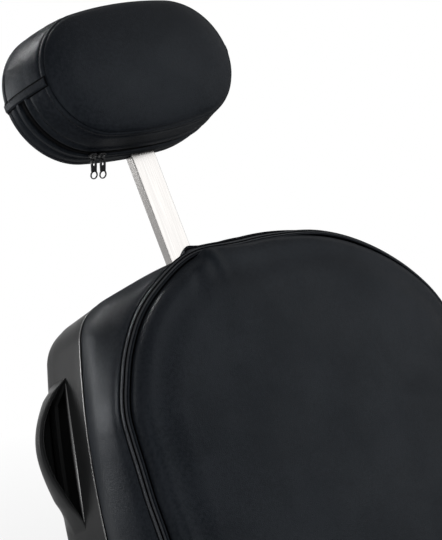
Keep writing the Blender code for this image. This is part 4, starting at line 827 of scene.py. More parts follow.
# two narrow folds with stitched lines between them, a flat strip, then the deep sewn groove: offset, rise, look; the
# folds carry a painted highlight, the valleys between them and the groove painted shade
BACK_SEWN = ((0.0086, -0.0146, PAINTED_SHADE_ROW), (0.0081, -0.0150, PAINTED_SHADE_ROW), (0.0079, -0.0138, PAINTED_FOLD_HIGHLIGHT), (0.0077, -0.0118, PAINTED_FOLD_HIGHLIGHT),
             (0.0073, -0.0106, PAINTED_FOLD_HIGHLIGHT), (0.0068, -0.0102, PAINTED_FOLD_HIGHLIGHT), (0.0064, -0.0108, PAINTED_SHADE_ROW), (0.0061, -0.0122, PAINTED_SHADE_ROW),
             (0.0054, -0.0120, PAINTED_SHADE_ROW), (0.0051, -0.0096, PAINTED_FOLD_HIGHLIGHT), (0.0047, -0.0084, PAINTED_FOLD_HIGHLIGHT), (0.0039, -0.0080, PAINTED_FOLD_HIGHLIGHT),
             (0.0034, -0.0086, PLAIN), (0.0031, -0.0096, PLAIN), (0.0028, -0.0084, PLAIN), (0.0024, -0.0072, PLAIN),
             (0.0018, -0.0066, PLAIN), (0.0013, -0.0069, PLAIN), (0.0009, -0.0080, PAINTED_SHADE_ROW), (0.0005, -0.0094, PAINTED_SHADE_ROW),
             (0.0002, -0.0104, PAINTED_SHADE_ROW))
CUSHION_PUFF, SEAM_STITCH, SEAM_THREAD = 0.85, 0.0034, 0.00038
CROWN_FULL, CROWN_FALL, CROWN_POWER = 1.02, 0.41, 2.2


def back_cushion():
    rear_f = BOARD_F + BOARD_T + FIT
    in_shell = shell_out(rear_f) - SHELL_WALL - 0.0008
    swell_f = SEAM_F - RIM_F
    rings = [shell_ring(0.0, rear_f, 0.45), shell_ring(in_shell - 0.006, rear_f),
             shell_ring(in_shell - 0.0015, rear_f + 0.001), shell_ring(in_shell, rear_f + 0.004),
             shell_ring(-SHELL_WALL - 0.001, RIM_F)]
    border = through([(1.0, -0.0026, RIM_F + 0.0016), (0.88, 0.52 * BULGE, RIM_F + 0.16 * swell_f),
                      (0.68, 0.92 * BULGE, RIM_F + 0.37 * swell_f), (0.45, BULGE, RIM_F + 0.55 * swell_f),
                      (0.20, 0.88 * BULGE, RIM_F + 0.72 * swell_f), (0.0, 0.0092, SEAM_F - 0.0140)], 7)
    for toward, offset, f in border:
        near = soft_step(np.array([f]), SEAM_F - 0.036, SEAM_F - 0.0150)[0]
        rings.append(tabbed(seam_ring(toward, offset, f), TAB * near - LIFT * (1.0 - toward)))
    for offset, rise, share, back in PLEAT:
        rings.append(tabbed(seam_ring(0.0, offset, SEAM_F + rise), TAB_OVER * share, back))
    # painted shade in the tuck between the shell's rim and the border
    looks = [PAINTED_SHADE_ROW if 4 <= row < 6 else PLAIN for row in range(len(rings))]
    for step, (offset, rise, look) in enumerate(BACK_SEWN):
        share = max(0.0, 0.72 - 0.16 * step)
        rings.append(tabbed(seam_ring(0.0, offset, SEAM_F + rise), TAB_OVER * share))
        looks.append(look)
    rings += [panel_ring(inset, rise, fold) for inset, rise, fold in PANEL_EDGE]
    inner = rings[-1][:, :2]
    for share in np.linspace(0.955, 0.02, 46):
        flat = BACK_MIDDLE + (inner - BACK_MIDDLE) * share
        rise = CROWN_RISE * (CROWN_FULL - CROWN_FALL * share ** CROWN_POWER)
        rings.append(leaned(flat, SEAM_F + rise))
    first_panel = len(looks) + 2
    # painted shade in the deep groove before the front panel
    looks.append(PAINTED_SHADE_ROW)
    looks += [PLAIN] * (len(rings) - len(looks))
    rings = np.array(rings)
    for row in range(len(rings)):
        flat = rings[row][:, :2]
        if row >= first_panel:
            held = soft_step(np.array([row - first_panel]), 0.0, 9.0)[0]
            wave = ripple(rings[row] * np.array((1.0, 0.8, 0.0)), *PANEL_WAVE) * held
            rings[row][:, 2] += wave - crease_depth(flat) * held
        elif 5 < row < 5 + len(border) - 3:
            rings[row][:, :2] += outward(flat) * ripple(rings[row], *BORDER_WAVE)[:, None]
    cover = loft("back_cushion_cover", on_back(rings), [LEATHER, PAINTED_HIGHLIGHT_LEATHER, PAINTED_SHADE_BLACK], "backrest",
                 ring_looks=looks, slot="leather", stands_for=("back_cushion",))
    for label, offset, rise in (("outer", 0.0058, -0.0119), ("inner", 0.0031, -0.0093)):
        path = seam_ring(0.0, offset, SEAM_F + rise)
        normal = in_world(SEAM_NORMAL * 0.7) + 0.7 * FORWARD
        stitches("back_seam_thread_" + label, on_back(path), normal, "backrest", length=SEAM_STITCH,
                 thick=SEAM_THREAD)


back_cushion()


# Back shell with its finger windows and grips

DENSE_WALL = shell_outline(1440)
DENSE_AWAY = outward(DENSE_WALL)


def wall_x(b, f):
    ring = DENSE_WALL + DENSE_AWAY * shell_out(f)
    keep = (ring[:, 0] > 0.0) & (ring[:, 1] > SHELL_LOW + SHELL_CORNER) & (DENSE_AWAY[:, 0] > 0.3)
    order = np.argsort(ring[keep][:, 1])
    return float(np.interp(b, ring[keep][order, 1], ring[keep][order, 0]))


def window_edge():
    b = np.linspace(GRIP_LOW + 0.004, GRIP_TOP - 0.004, 41)
    u = (b - b[0]) / (b[-1] - b[0])
    return [(GRIP_F + GRIP_EDGE_BOW * math.sin(math.pi * t) - 0.001, h) for t, h in zip(u, b)]


def cutter(verts, faces):
    mesh = bpy.data.meshes.new("cutter")
    mesh.from_pydata(np.asarray(verts, dtype=float).tolist(), [], faces)
    face_out(mesh)
    return shown("cutter", mesh)


def cut_block(outline, low, high):
    """Prism across the back: outline in forward and up-back, from low to high across."""
    local = [(x, b, f) for x in (low, high) for f, b in outline]
    return cutter(on_back(local), prism_faces(len(outline)))


def cut_bar_way(gap, low_b, high_b):
    """Passage of the headrest bar with a gap all round."""
    half = 0.5 * BAR_W + gap
    rear, front = BAR_MIDDLE_F - 0.5 * BAR_T - gap, BAR_MIDDLE_F + 0.5 * BAR_T + gap
    return cut_block([(rear, low_b), (front, low_b), (front, high_b), (rear, high_b)], -half, half)


def cut_rod(radius, x, b, count=32):
    """Round hole through the shell's rear wall."""
    local = [(x + radius * math.cos(a), b + radius * math.sin(a), f) for f in (-0.075, -0.025)
             for a in full_turn(count)]
    return cutter(on_back(local), prism_faces(count))


def carve(thing, cutters):
    bpy.context.view_layer.update()
    for tool in cutters:
        step = thing.modifiers.new("cut", "BOOLEAN")
        step.operation = "DIFFERENCE"
        step.solver = "EXACT"
        step.object = tool
    graph = bpy.context.evaluated_depsgraph_get()
    shaped = bpy.data.meshes.new_from_object(thing.evaluated_get(graph))
    looks = list(thing.data.materials)
    thing.modifiers.clear()
    thing.data = shaped
    shaped.materials.clear()
    for look in looks:
        shaped.materials.append(look)
    for face in shaped.polygons:
        face.material_index = min(face.material_index, len(looks) - 1)
    for tool in cutters:
        bpy.data.objects.remove(tool, do_unlink=True)


# slots in the shell's lower wall for the two back arms, and the screw holes beside them
ARM_SLOT_X = (0.13785, 0.14735)
ARM_SLOT = ((-0.0205, 0.02), (0.0202, 0.02), (0.0202, 0.08), (-0.0205, 0.08))
SCREW_HOLE_R, WINDOW_REACH = 0.0028, 0.075
# the rim's rounded edge, from the outer face to the inner one: offset, drop
SHELL_EDGE = ((-0.0002, 0.0019), (-0.0006, 0.0009), (-0.0012, 0.0002), (-0.0020, 0.0), (-0.0030, 0.0003),
              (-0.0036, 0.0010), (-SHELL_WALL, 0.0022))


def back_shell():
    rear_out = shell_out(SHELL_REAR_F)
    turn_out = shell_out(SHELL_TURN_F)
    wall = SHELL_WALL
    rings = []
    for share in (0.05, 0.18, 0.30, 0.42, 0.52, 0.62, 0.72):
        belly = SHELL_BELLY * (1.0 - 0.2 * max(0.0, (share - 0.30) / 0.32) ** 2)
        rings.append(shell_ring(0.0, SHELL_BACK_F - max(0.0, belly), share))
    outer = through([(-0.046, SHELL_BACK_F - 0.0016), (-0.028, SHELL_BACK_F),
                     (rear_out - 0.009, SHELL_BACK_F + 0.004), (rear_out, SHELL_REAR_F),
                     (turn_out, SHELL_TURN_F)], 5)
    rings += [shell_ring(offset, f) for offset, f in outer]
    for f in (0.005, 0.020, 0.035, RIM_F - 0.0030):
        rings.append(shell_ring(shell_out(f), f))
    rim_from = len(rings) - 1
    rings += [shell_ring(offset, RIM_F - drop) for offset, drop in SHELL_EDGE]
    rim_to = len(rings) - 1
    inner = [(turn_out - wall, SHELL_TURN_F), (rear_out - wall, SHELL_REAR_F + 0.003),
             (rear_out - 0.012, SHELL_BACK_F + 0.008), (-0.030, SHELL_BACK_F + wall)]
    rings += [shell_ring(offset, f) for offset, f in inner]
    rings.append(shell_ring(0.0, SHELL_BACK_F + wall - 0.8 * SHELL_BELLY, 0.62))
    rings.append(shell_ring(0.0, SHELL_BACK_F + wall - SHELL_BELLY, 0.30))
    looks = [int(rim_from <= row < rim_to) for row in range(len(rings))]
    shell = loft("back_shell_moulding", on_back(np.array(rings)), [SHELL_PLASTIC, RIM_PLASTIC], "backrest",
                 ring_looks=looks, slot="shell_plastic", stands_for=("back_shell",))
    window = window_edge() + [(WINDOW_REAR_F, GRIP_TOP - 0.022), (WINDOW_REAR_F, GRIP_LOW + 0.022)]
    tools = []
    for side, _ in SIDES:
        reach = (side * (SHELL_HALF - WINDOW_REACH), side * (SHELL_HALF + WINDOW_REACH))
        tools.append(cut_block(window, *sorted(reach)))
        tools.append(cut_block(ARM_SLOT, *sorted(side * x for x in ARM_SLOT_X)))
        tools += [cut_rod(SCREW_HOLE_R, side * SCREW_X, b, 20) for b, _ in SCREW_LEVELS]
    tools.append(cut_bar_way(0.001, 0.548, 0.60))
    tools.append(cut_rod(STUD_R + 0.0015, 0.0, KNOB_B))
    carve(shell, tools)
    sharpen(shell, 32.0)
    cord_bead("back_shell_rolled_rim", on_back(shell_ring(-0.0006, RIM_F - 0.0004)), in_world(SHELL_NORMAL), 0.0010,
              RIM_PLASTIC, "backrest", "shell_plastic", closed=True)


back_shell()


def grip_swell(u):
    peak = GRIP_RISE / (GRIP_RISE + GRIP_FALL)
    u = min(max(u, 1e-6), 1.0 - 1e-6)
    return (u / peak) ** GRIP_RISE * ((1.0 - u) / (1.0 - peak)) ** GRIP_FALL


LIP_STEPS, LIP_THIN, LIP_FULL = 72, 0.0012, 0.010


def back_grips():
    """Each grip is a lip that swells out of the wall; its front edge is rolled, its border sinks into the wall."""
    for side, word in SIDES:
        rows, lip_edge, lip_round = [], [], []
        for i in range(LIP_STEPS + 1):
            u = 0.5 - 0.5 * math.cos(math.pi * (0.004 + 0.992 * i / LIP_STEPS))
            b = GRIP_TOP + (GRIP_LOW - GRIP_TOP) * u
            inner, outer = [], []
            for v in np.linspace(1.0, 0.0, 19):
                f = GRIP_F - GRIP_DEPTH * v
                lift = GRIP_BULGE * grip_swell(u) * max(0.0, math.cos(0.5 * math.pi * v)) ** 0.8
                fat = min(1.0, lift / LIP_FULL)
                near = wall_x(b, f) + 2.0 * FIT * fat - LIP_THIN * (1.0 - fat) + lift
                thick = LIP_THIN + (GRIP_WALL - LIP_THIN) * fat
                inner.append((near, f))
                outer.append((near + thick, f))
            # bead along the lip's inner edge
            lip_edge.append((side * (inner[-1][0] + 0.0005), b, inner[-1][1] + 0.0003))
            lip_round.append(0.0004 + 0.0007 * fat)
            # rolled front edge between the two skins
            a, z = np.array(inner[-1]), np.array(outer[-1])
            middle, half = 0.5 * (a + z), 0.5 * np.linalg.norm(z - a)
            nose = [(middle[0] - half * math.cos(t), middle[1] + min(half, 0.0020) * math.sin(t))
                    for t in np.linspace(0.0, math.pi, 11)[1:-1]]
            section = inner + nose + outer[::-1]
            rows.append([(side * x, b, f) for x, f in section])
        lip = loft("back_grip_lip_" + word, on_back(np.array(rows)), [SHELL_PLASTIC, RIM_PLASTIC], "backrest",
                   slot="shell_plastic", stands_for=("back_grip_" + word,))
        # the rolled edge has the rim's finish
        for face in lip.data.polygons[:(len(rows) - 1) * len(section)]:
            face.material_index = int(17 <= face.index % len(section) <= 20)
        path = [(side * (wall_x(b, f) - 0.0010), b, f) for f, b in window_edge()]
        taper = 0.0030 * np.sin(np.linspace(0.12, math.pi - 0.12, len(path))) ** 0.4
        for name, line, radius, look in (("back_grip_rolled_edge_", lip_edge, lip_round, RIM_PLASTIC),
                                         ("finger_window_rim_", path, taper, EDGE_PLASTIC)):
            cord_bead(name + word, on_back(line), np.tile(side * ACROSS, (len(line), 1)), radius, look, "backrest",
                      "shell_plastic")


back_grips()


# Headrest pad: face panel, band with a zip in its lower half, rear panel

ROUND_PAD = 480
PAD_MIDDLE = np.array((0.0, PAD_B))


def pad_arcs(grow_w, grow_h):
    half_w, half_h, end = 0.5 * PAD_W + grow_w, 0.5 * PAD_H + grow_h, PAD_END_R + grow_h
    end_x = half_w - end
    flat = (end_x ** 2 + half_h ** 2 - end ** 2) / (2.0 * (half_h - end))
    return end_x, end, flat - half_h, flat, math.atan2(end_x, flat - half_h)


def pad_outline(grow_w, grow_h, steps=120):
    end_x, end, flat_b, flat, meet = pad_arcs(grow_w, grow_h)
    points = []
    for a in np.linspace(-meet, meet, steps, endpoint=False):
        points.append((flat * math.sin(a), flat_b - flat * math.cos(a)))
    for a in np.linspace(meet, math.pi - meet, 2 * steps, endpoint=False):
        points.append((end_x + end * math.sin(a), -end * math.cos(a)))
    for a in np.linspace(-meet, meet, steps, endpoint=False):
        points.append((-flat * math.sin(a), -flat_b + flat * math.cos(a)))
    for a in np.linspace(math.pi + meet, 2.0 * math.pi - meet, 2 * steps, endpoint=False):
        points.append((-end_x + end * math.sin(a), -end * math.cos(a)))
    return np.array(points)


PAD_LINE = evenly(pad_outline(0.0, 0.0), ROUND_PAD)


def pad_flare(f):
    return math.sin(0.5 * math.pi * min(1.0, (PAD_SEAM_F - f) / (0.92 * (PAD_SEAM_F - PAD_REAR_F))))


def pad_drop(f):
    return PAD_DROP * (PAD_SEAM_F - min(f, PAD_SEAM_F)) / (PAD_SEAM_F - PAD_REAR_F)


def flared_line(f):
    grow = pad_flare(f)
    return evenly(pad_outline(PAD_FLARE_W * grow, PAD_FLARE_H * grow), ROUND_PAD)


def pad_ring(f, inset=0.0, share=1.0, flared_at=None):
    flat = flared_line(min(f, PAD_SEAM_F))
    if flared_at is not None:
        flat = flat + (flared_line(flared_at) - flat) * BAND_LOW[:, None]
    flat[:, 1] -= pad_drop(f)
    drawn = 0.65 * soft_step(flat[:, 0], 0.035, 0.105) * soft_step(-flat[:, 1], -0.03, 0.03)
    flat = flat + (PAD_LINE - flat) * drawn[:, None]
    inset = np.broadcast_to(np.asarray(inset, dtype=float), (ROUND_PAD,))
    flat = (flat - outward(flat) * inset[:, None]) * share
    return np.column_stack([flat[:, 0], PAD_B + flat[:, 1], np.full(ROUND_PAD, f)])


LAP_B = 0.0012
BAND_LOW = soft_step(PAD_B - pad_drop(ZIP_F) + LAP_B - pad_ring(ZIP_F)[:, 1], -0.001, 0.003)


# rows of the cover, from the rear panel to the face: depth from the rear or from the seam, inset, look; the looks
# paint shade into the seam and stitch grooves, and on the band's lower half into the zip's channel
SMOOTH, GROOVE_SHADE, LOW_BAND_GROOVE_SHADE = 0, 1, 2
PAD_REAR_ROWS = ((0.0, 0.0160), (0.0004, 0.0090), (0.0011, 0.0050), (0.0020, 0.0026), (0.0026, 0.0022),
                 (0.0030, 0.0030), (0.0036, 0.0014), (0.0048, 0.0003), (0.0064, 0.0), (0.0086, 0.0),
                 (0.0094, 0.0004), (0.0100, 0.0010), (0.0106, 0.0004), (0.0114, 0.0), (0.0120, 0.0), (0.0142, 0.0))
PAD_SEAM_ROWS = ((-0.0066, -0.0002, SMOOTH), (-0.0060, 0.0002, GROOVE_SHADE), (-0.0054, 0.0010, GROOVE_SHADE),
                 (-0.0048, 0.0002, SMOOTH), (-0.0042, -0.0002, SMOOTH), (-0.0026, -0.0002, SMOOTH),
                 (-0.0017, 0.0, SMOOTH), (-0.0012, 0.0005, GROOVE_SHADE), (-0.0008, 0.0020, GROOVE_SHADE), (-0.0005, 0.0036, GROOVE_SHADE),
                 (-0.0001, 0.0040, GROOVE_SHADE), (0.0002, 0.0024, GROOVE_SHADE), (0.0006, 0.0014, SMOOTH), (0.0020, 0.0020, SMOOTH),
                 (0.0038, 0.0044, SMOOTH), (0.0054, 0.0086, SMOOTH), (0.0072, 0.0140, SMOOTH),
                 (0.0090, 0.0206, SMOOTH), (0.0106, 0.0285, SMOOTH))
PAD_FACE_RISE, PAD_PUFF = PAD_SEAM_ROWS[-1][0], 0.9


def headrest_pad():
    rings, looks = [], []

    def lay(f, inset=0.0, share=1.0, look=SMOOTH, flared_at=None):
        rings.append(pad_ring(f, inset, share, flared_at))
        looks.append(look)

    for share in (0.04, 0.18, 0.34, 0.50, 0.64, 0.76):
        lay(PAD_REAR_F - 0.0012 * (1.0 - share), 0.012, share)
    for f, inset in PAD_REAR_ROWS:
        lay(PAD_REAR_F + f, inset, 1.0, GROOVE_SHADE if 0.0090 < f < 0.0103 else SMOOTH)
    # the zip lies sunk between two folds, with a stitched line beside each
    dip = ZIP_SINK * BAND_LOW
    fold = -0.0009 * BAND_LOW
    line = 0.0010 * BAND_LOW
    for step, inset in ((-0.0118, 0.0), (-0.0110, line), (-0.0102, 0.0), (-0.0080, 0.4 * fold), (-0.0062, fold),
                        (-0.0052, 0.9 * fold), (-0.0046, 0.25 * dip), (-0.0042, dip), (0.0, dip), (0.0042, dip),
                        (0.0046, 0.25 * dip), (0.0052, 0.9 * fold), (0.0062, fold), (0.0080, 0.4 * fold),
                        (0.0102, 0.0), (0.0110, line), (0.0118, 0.0)):
        flared = ZIP_F if abs(step) < 0.005 else None
        # rows of the zip's channel and its stitch grooves get painted shade where the band is low
        sunk = -0.0050 < step < 0.0045 or step in (-0.0118, -0.0110, 0.0102, 0.0110)
        lay(ZIP_F + step, inset, 1.0, LOW_BAND_GROOVE_SHADE if sunk else SMOOTH, flared)
    for f in (0.0430, 0.0470, 0.0510, 0.0550):
        lay(f, -0.0003)
    for f, inset, look in PAD_SEAM_ROWS:
        lay(PAD_SEAM_F + f, inset, 1.0, look)
    rim = rings[-1].copy()
    for share in np.linspace(0.95, 0.03, 26):
        flat = PAD_MIDDLE + (rim[:, :2] - PAD_MIDDLE) * share
        f = PAD_SEAM_F + PAD_FACE_RISE + (PAD_CROWN_F - PAD_SEAM_F - PAD_FACE_RISE) * (1.0 - share ** 2.0)
        rings.append(np.column_stack([flat, np.full(ROUND_PAD, f)]))
        looks.append(SMOOTH)
    rings = np.array(rings)
    band = (rings[:, :, 2] > 0.006) & (rings[:, :, 2] < PAD_SEAM_F - 0.008)
    wave = ripple(rings * np.array((1.0, 1.0, 1.6)), *BAND_WAVE) * band
    away = rings[:, :, :2] - PAD_MIDDLE
    away = away / np.maximum(np.linalg.norm(away, axis=2), 1e-6)[..., None]
    rings[:, :, :2] += away * wave[..., None]
    face = rings[:, :, 2] > PAD_SEAM_F + 0.004
    rings[:, :, 2] += ripple(rings * np.array((1.0, 1.0, 0.0)), *FACE_WAVE) * face
    # painted shade on these rows only along the band's lower half
    marks = np.repeat(np.array(looks)[:, None], ROUND_PAD, axis=1)
    marks = np.where(marks == LOW_BAND_GROOVE_SHADE, (BAND_LOW > 0.5).astype(int)[None, :], marks)
    cover = loft("headrest_cover", on_back(rings), [LEATHER, PAINTED_SHADE_BLACK], "headrest", ring_looks=marks, slot="leather",
                 stands_for=("headrest_pad",))
    carve(cover, [cut_bar_way(0.0006, PAD_B - 0.2, PAD_B + 0.038)])
    sharpen(cover, 60.0)


headrest_pad()


def band_path(f, rise, keep):
    """Line round the band at one depth; keep picks the part that is sewn."""
    ring = pad_ring(f, -rise)
    flat = ring[:, :2] - PAD_MIDDLE
    normal = in_world(outward(flat))
    if keep is None:
        return on_back(ring), normal
    order = np.argsort(np.arctan2(flat[:, 0], -flat[:, 1]))
    picked = [i for i in order if keep(flat[i])]
    return on_back(ring[picked]), normal[picked]


def lap_row(side, f, across, lift):
    """Places across the lap strip at one depth, raised off the band, and the band's outward way there."""
    ring = pad_ring(f)
    away = outward(ring[:, :2])
    near = np.flatnonzero((side * ring[:, 0] > 0.0) & (side * away[:, 0] > 0.5))
    near = near[np.argsort(ring[near, 1])]
    b = PAD_B - pad_drop(f) + LAP_B + 0.014 * (f - 0.035) + across
    flat = np.column_stack([np.interp(b, ring[near, 1], ring[near, 0]), b])
    way = marked(away[near], ring[near, 1], b)
    flat = flat + way * np.broadcast_to(lift, b.shape)[:, None]
    return [(x, h, f) for x, h in flat], way


LAP_ACROSS = np.concatenate([[-0.0060, -0.0046], np.linspace(-0.0045, 0.0045, 11), [0.0046, 0.0060]])
LAP_PROUD = {"right": 0.0013, "left": 0.0005}


def headrest_seams():
    for label, f in (("front", PAD_SEAM_F - 0.0054), ("rear", PAD_REAR_F + 0.0100)):
        path, normal = band_path(f, -0.0003, None)
        stitches("headrest_thread_" + label, path, normal, "headrest")
    for label, step in (("zip_front", 0.0110), ("zip_rear", -0.0110)):
        path, normal = band_path(ZIP_F + step, -0.0004, lambda p: p[1] < LAP_B - 0.004)
        stitches("headrest_thread_" + label, path, normal, "headrest", closed=False)
    # a lap strip covers each end of the zip
    for side, word in SIDES:
        depth = np.linspace(PAD_REAR_F + 0.0045, PAD_SEAM_F - 0.0008, 34)
        proud = LAP_PROUD[word]
        edge = 1.0 - soft_step(np.abs(LAP_ACROSS), 0.0036, 0.0046)
        top, low = [], []
        for f in depth:
            top += lap_row(side, f, LAP_ACROSS, 0.0003 + proud * edge)[0]
            low += lap_row(side, f, LAP_ACROSS, -0.0008)[0]
        wide, tall = len(LAP_ACROSS), len(depth)
        verts = np.array(top + low)
        faces, shade, total = [], [], wide * tall
        for i in range(tall - 1):
            for j in range(wide - 1):
                p = i * wide + j
                quad = (p, p + 1, p + wide + 1, p + wide)
                faces.append(quad)
                faces.append(tuple(total + q for q in quad[::-1]))
                # the strip's outer columns and its sides are painted shade along its edges
                shade += [int(not 1 < j < wide - 3), 1]
        rim = list(range(wide)) + [i * wide + wide - 1 for i in range(1, tall)]
        rim += [(tall - 1) * wide + j for j in range(wide - 2, -1, -1)] + [i * wide for i in range(tall - 2, 0, -1)]
        faces += [(p, q, total + q, total + p) for p, q in zip(rim, rim[1:] + rim[:1])]
        shade += [1] * (len(faces) - len(shade))
        piece("headrest_lap_" + word, on_back(verts), faces, [LEATHER, PAINTED_SHADE_BLACK], "headrest", "leather", shade=shade)
        for label, s in (("upper", 0.0028), ("lower", -0.0028)):
            path, normal = [], []
            for f in np.linspace(PAD_REAR_F + 0.007, PAD_SEAM_F - 0.003, 40):
                spot, way = lap_row(side, f, np.array([s]), 0.0003 + proud)
                path += spot
                normal.append(in_world(way)[0])
            stitches("headrest_lap_thread_" + word + "_" + label, on_back(path), np.array(normal), "headrest",
                     closed=False, length=0.0026)


headrest_seams()


def zip_spots(step):
    """Even marks along the zip's path, right to left: place and outward way."""
    flat = pad_ring(ZIP_F)[:, :2] - PAD_MIDDLE
    away = outward(flat)
    low = np.flatnonzero(flat[:, 1] < -pad_drop(ZIP_F) - 0.0036)
    low = low[np.argsort(np.arctan2(flat[low, 0], -flat[low, 1]))]
    run = run_along(flat[low])
    marks = np.arange(0.0, run[-1], step)
    return np.column_stack([marked(flat[low], run, marks), unit(marked(away[low], run, marks))])


ZIP_PITCH, TOOTH_HALF, TOOTH_SHIFT = 0.0016, 0.00055, 0.0004


def headrest_zip():
    marks = zip_spots(ZIP_PITCH)
    base = -ZIP_SINK + 0.0004
    section = ((-0.0036, base), (-0.0036, base + 0.0007), (-0.0020, base + 0.0008), (-0.0018, base + 0.0004),
               (0.0018, base + 0.0004), (0.0020, base + 0.0008), (0.0036, base + 0.0007), (0.0036, base))
    rings = []
    for x, b, nx, nb in marks[::2]:
        rings.append([(x + nx * lift, PAD_B + b + nb * lift, ZIP_F + f) for f, lift in section])
    loft("zip_tape_run", on_back(np.array(rings)), ZIP_TAPE, "headrest", slot="zip_tape",
         stands_for=("headrest_zip",))
    verts, faces = [], []
    for x, b, nx, nb in marks:
        way = np.array((-nb, nx))
        for row in (-1, 1):
            spot = np.array((x, b)) + way * (TOOTH_SHIFT * row)
            start = len(verts)
            for along in (-TOOTH_HALF, TOOTH_HALF):
                for f, lift in ((row * -0.0004, base + 0.0004), (row * 0.0021, base + 0.0006),
                                (row * 0.0019, base + 0.0017), (row * -0.0002, base + 0.0016)):
                    p = spot + way * along + np.array((nx, nb)) * lift
                    verts.append((p[0], PAD_B + p[1], ZIP_F + f))
            faces += [(start, start + 1, start + 2, start + 3), (start + 4, start + 7, start + 6, start + 5)]
            faces += [(start + j, start + 4 + j, start + 4 + (j + 1) % 4, start + (j + 1) % 4) for j in range(4)]
    piece("zip_teeth", on_back(np.array(verts)), faces, ZIP_TAPE, "headrest", "zip_tape", smooth=False)


headrest_zip()


def zip_pulls():
    """Cast pulls: a slotted plate that ends in a ring, hung from the slider's bow."""
    side = [(-0.0028, 0.0006), (-0.0036, -0.0006), (-0.0039, -0.0050), (-0.0037, -0.0100), (-0.0036, -0.0130)]
    ring = [(0.0048 * math.cos(a), -0.0172 + 0.0048 * math.sin(a))
            for a in np.linspace(math.radians(139.0), math.radians(401.0), 33)]
    outline = side + ring + [(-x, z) for x, z in side[::-1]]
    for word in ("right", "left"):
        refined("zip_slider_" + word, ZIP_METAL, "slider_" + word, 0.0003)
        spots = np.array([v.co for v in SOLIDS["zip_pull_" + word].data.vertices])
        low, high = spots.min(axis=0), spots.max(axis=0)
        hang = np.array((0.5 * (low[0] + high[0]), 0.5 * (low[1] + high[1]), high[2] - 0.0006))

        def plate(shape, half):
            verts = [hang + np.array((x, y, z)) for y in (-half, half) for x, z in shape]
            return verts, prism_faces(len(shape))

        pull = piece("zip_pull_plate_" + word, *plate(outline, 0.0007), ZIP_METAL, "pull_" + word, "zip_metal",
                     stands_for=("zip_pull_" + word,))
        slot = [(-0.0011, -0.0006), (-0.0011, -0.0070), (0.0011, -0.0070), (0.0011, -0.0006)]
        hole = [(0.0033 * math.cos(a), -0.0174 + 0.0034 * math.sin(a)) for a in full_turn(28)]
        carve(pull, [cutter(*plate(shape, 0.004)) for shape in (slot, hole)])
        sharpen(pull, 40.0)
        ease_edges(pull, 0.0003, 40.0, False)


zip_pulls()
refined("headrest_bar", BAR_STEEL, "headrest", 0.0005)
refined("headrest_board", PLYWOOD, "headrest", 0.0006)


# Back frame

for word in ("left", "right"):
    refined("back_arm_" + word, ZINC, "backrest")
    refined("hinge_pin_" + word, ZINC, "seat", 0.0005)
    refined("seat_hinge_" + word, ZINC, "seat")
refined("back_board", PLYWOOD, "backrest")
refined("back_crossbar", ZINC, "backrest")
refined("torque_tube", ZINC, "backrest", 0.0006)
refined("headrest_socket", ZINC, "backrest", 0.0005)


def shell_screws():
    low = -SHELL_BACK_F + SHELL_BELLY + FIT
    tip = 0.019 + FIT
    profile = rounded_profile([(0.0, tip), (0.0025, tip), (0.0025, low), (0.0055, low), (0.0052, low + 0.0016),
                               (0.0036, low + 0.0031), (0.0, low + 0.0035)], 0.0004, 3, False)
    for side, word in SIDES:
        for b, level in SCREW_LEVELS:
            spot = on_back((side * SCREW_X, b, 0.0))
            frame_in = Matrix([[ACROSS[i], UP_BACK[i], -FORWARD[i], spot[i]] for i in range(3)] + [[0, 0, 0, 1]])
            screw = lathe("shell_screw_head_" + level + "_" + word, profile, ZINC, "backrest", "zinc_steel",
                          ("shell_screw_" + level + "_" + word,), 48, frame_in)
            tools = []
            for wide, tall in ((0.0010, 0.0056), (0.0056, 0.0010)):
                local = [(side * SCREW_X + sx * wide / 2, b + sy * tall / 2, -f)
                         for f in (low + 0.0018, low + 0.006) for sx, sy in ((-1, -1), (1, -1), (1, 1), (-1, 1))]
                tools.append(cutter(on_back(local), prism_faces(4)))
            carve(screw, tools)
            sharpen(screw, 40.0)


shell_screws()


# share of the radius, height over the shell, depth of the lobes
KNOB_STEPS = ((0.62, 0.0, 0.0), (0.80, 0.0004, 0.02), (0.97, 0.003, 0.09), (1.0, 0.006, 0.09), (1.0, 0.013, 0.09),
              (0.93, 0.0165, 0.08), (0.78, 0.0186, 0.04), (0.45, 0.0198, 0.0))
KNOB_LOBES, ROUND_KNOB = 6.0, 144


def clamp_knob():
    low = -(SHELL_BACK_F - SHELL_BELLY) + 0.002
    tip = -(BAR_F - BAR_T) + FIT
    turn = full_turn(ROUND_KNOB)
    rings = [[(STUD_R * math.cos(a), KNOB_B + STUD_R * math.sin(a), -y) for a in turn] for y in (tip, low)]
    for r, y, lobe in through([(share * KNOB_R, low + rise, lobe) for share, rise, lobe in KNOB_STEPS], 4):
        wave = r * (1.0 + lobe * np.cos(KNOB_LOBES * turn))
        rings.append(np.column_stack([wave * np.cos(turn), KNOB_B + wave * np.sin(turn), np.full(ROUND_KNOB, -y)]))
    knob = loft("clamp_knob_moulding", on_back(np.array(rings)), KNOB_PLASTIC, "clamp", slot="knob_plastic",
                stands_for=("clamp_knob",))
    sharpen(knob, 50.0)


clamp_knob()


# Seat

def rounded_box(half_x, low_y, high_y, corner, steps=24):
    points = []
    for x, y, turn in ((half_x - corner, low_y + corner, -0.5), (half_x - corner, high_y - corner, 0.0),
                       (corner - half_x, high_y - corner, 0.5), (corner - half_x, low_y + corner, 1.0)):
        for a in np.linspace(turn * math.pi, (turn + 0.5) * math.pi, steps + 1):
            points.append((x + corner * math.cos(a), y + corner * math.sin(a)))
    return np.array(points)


ROUND_SEAT = 480


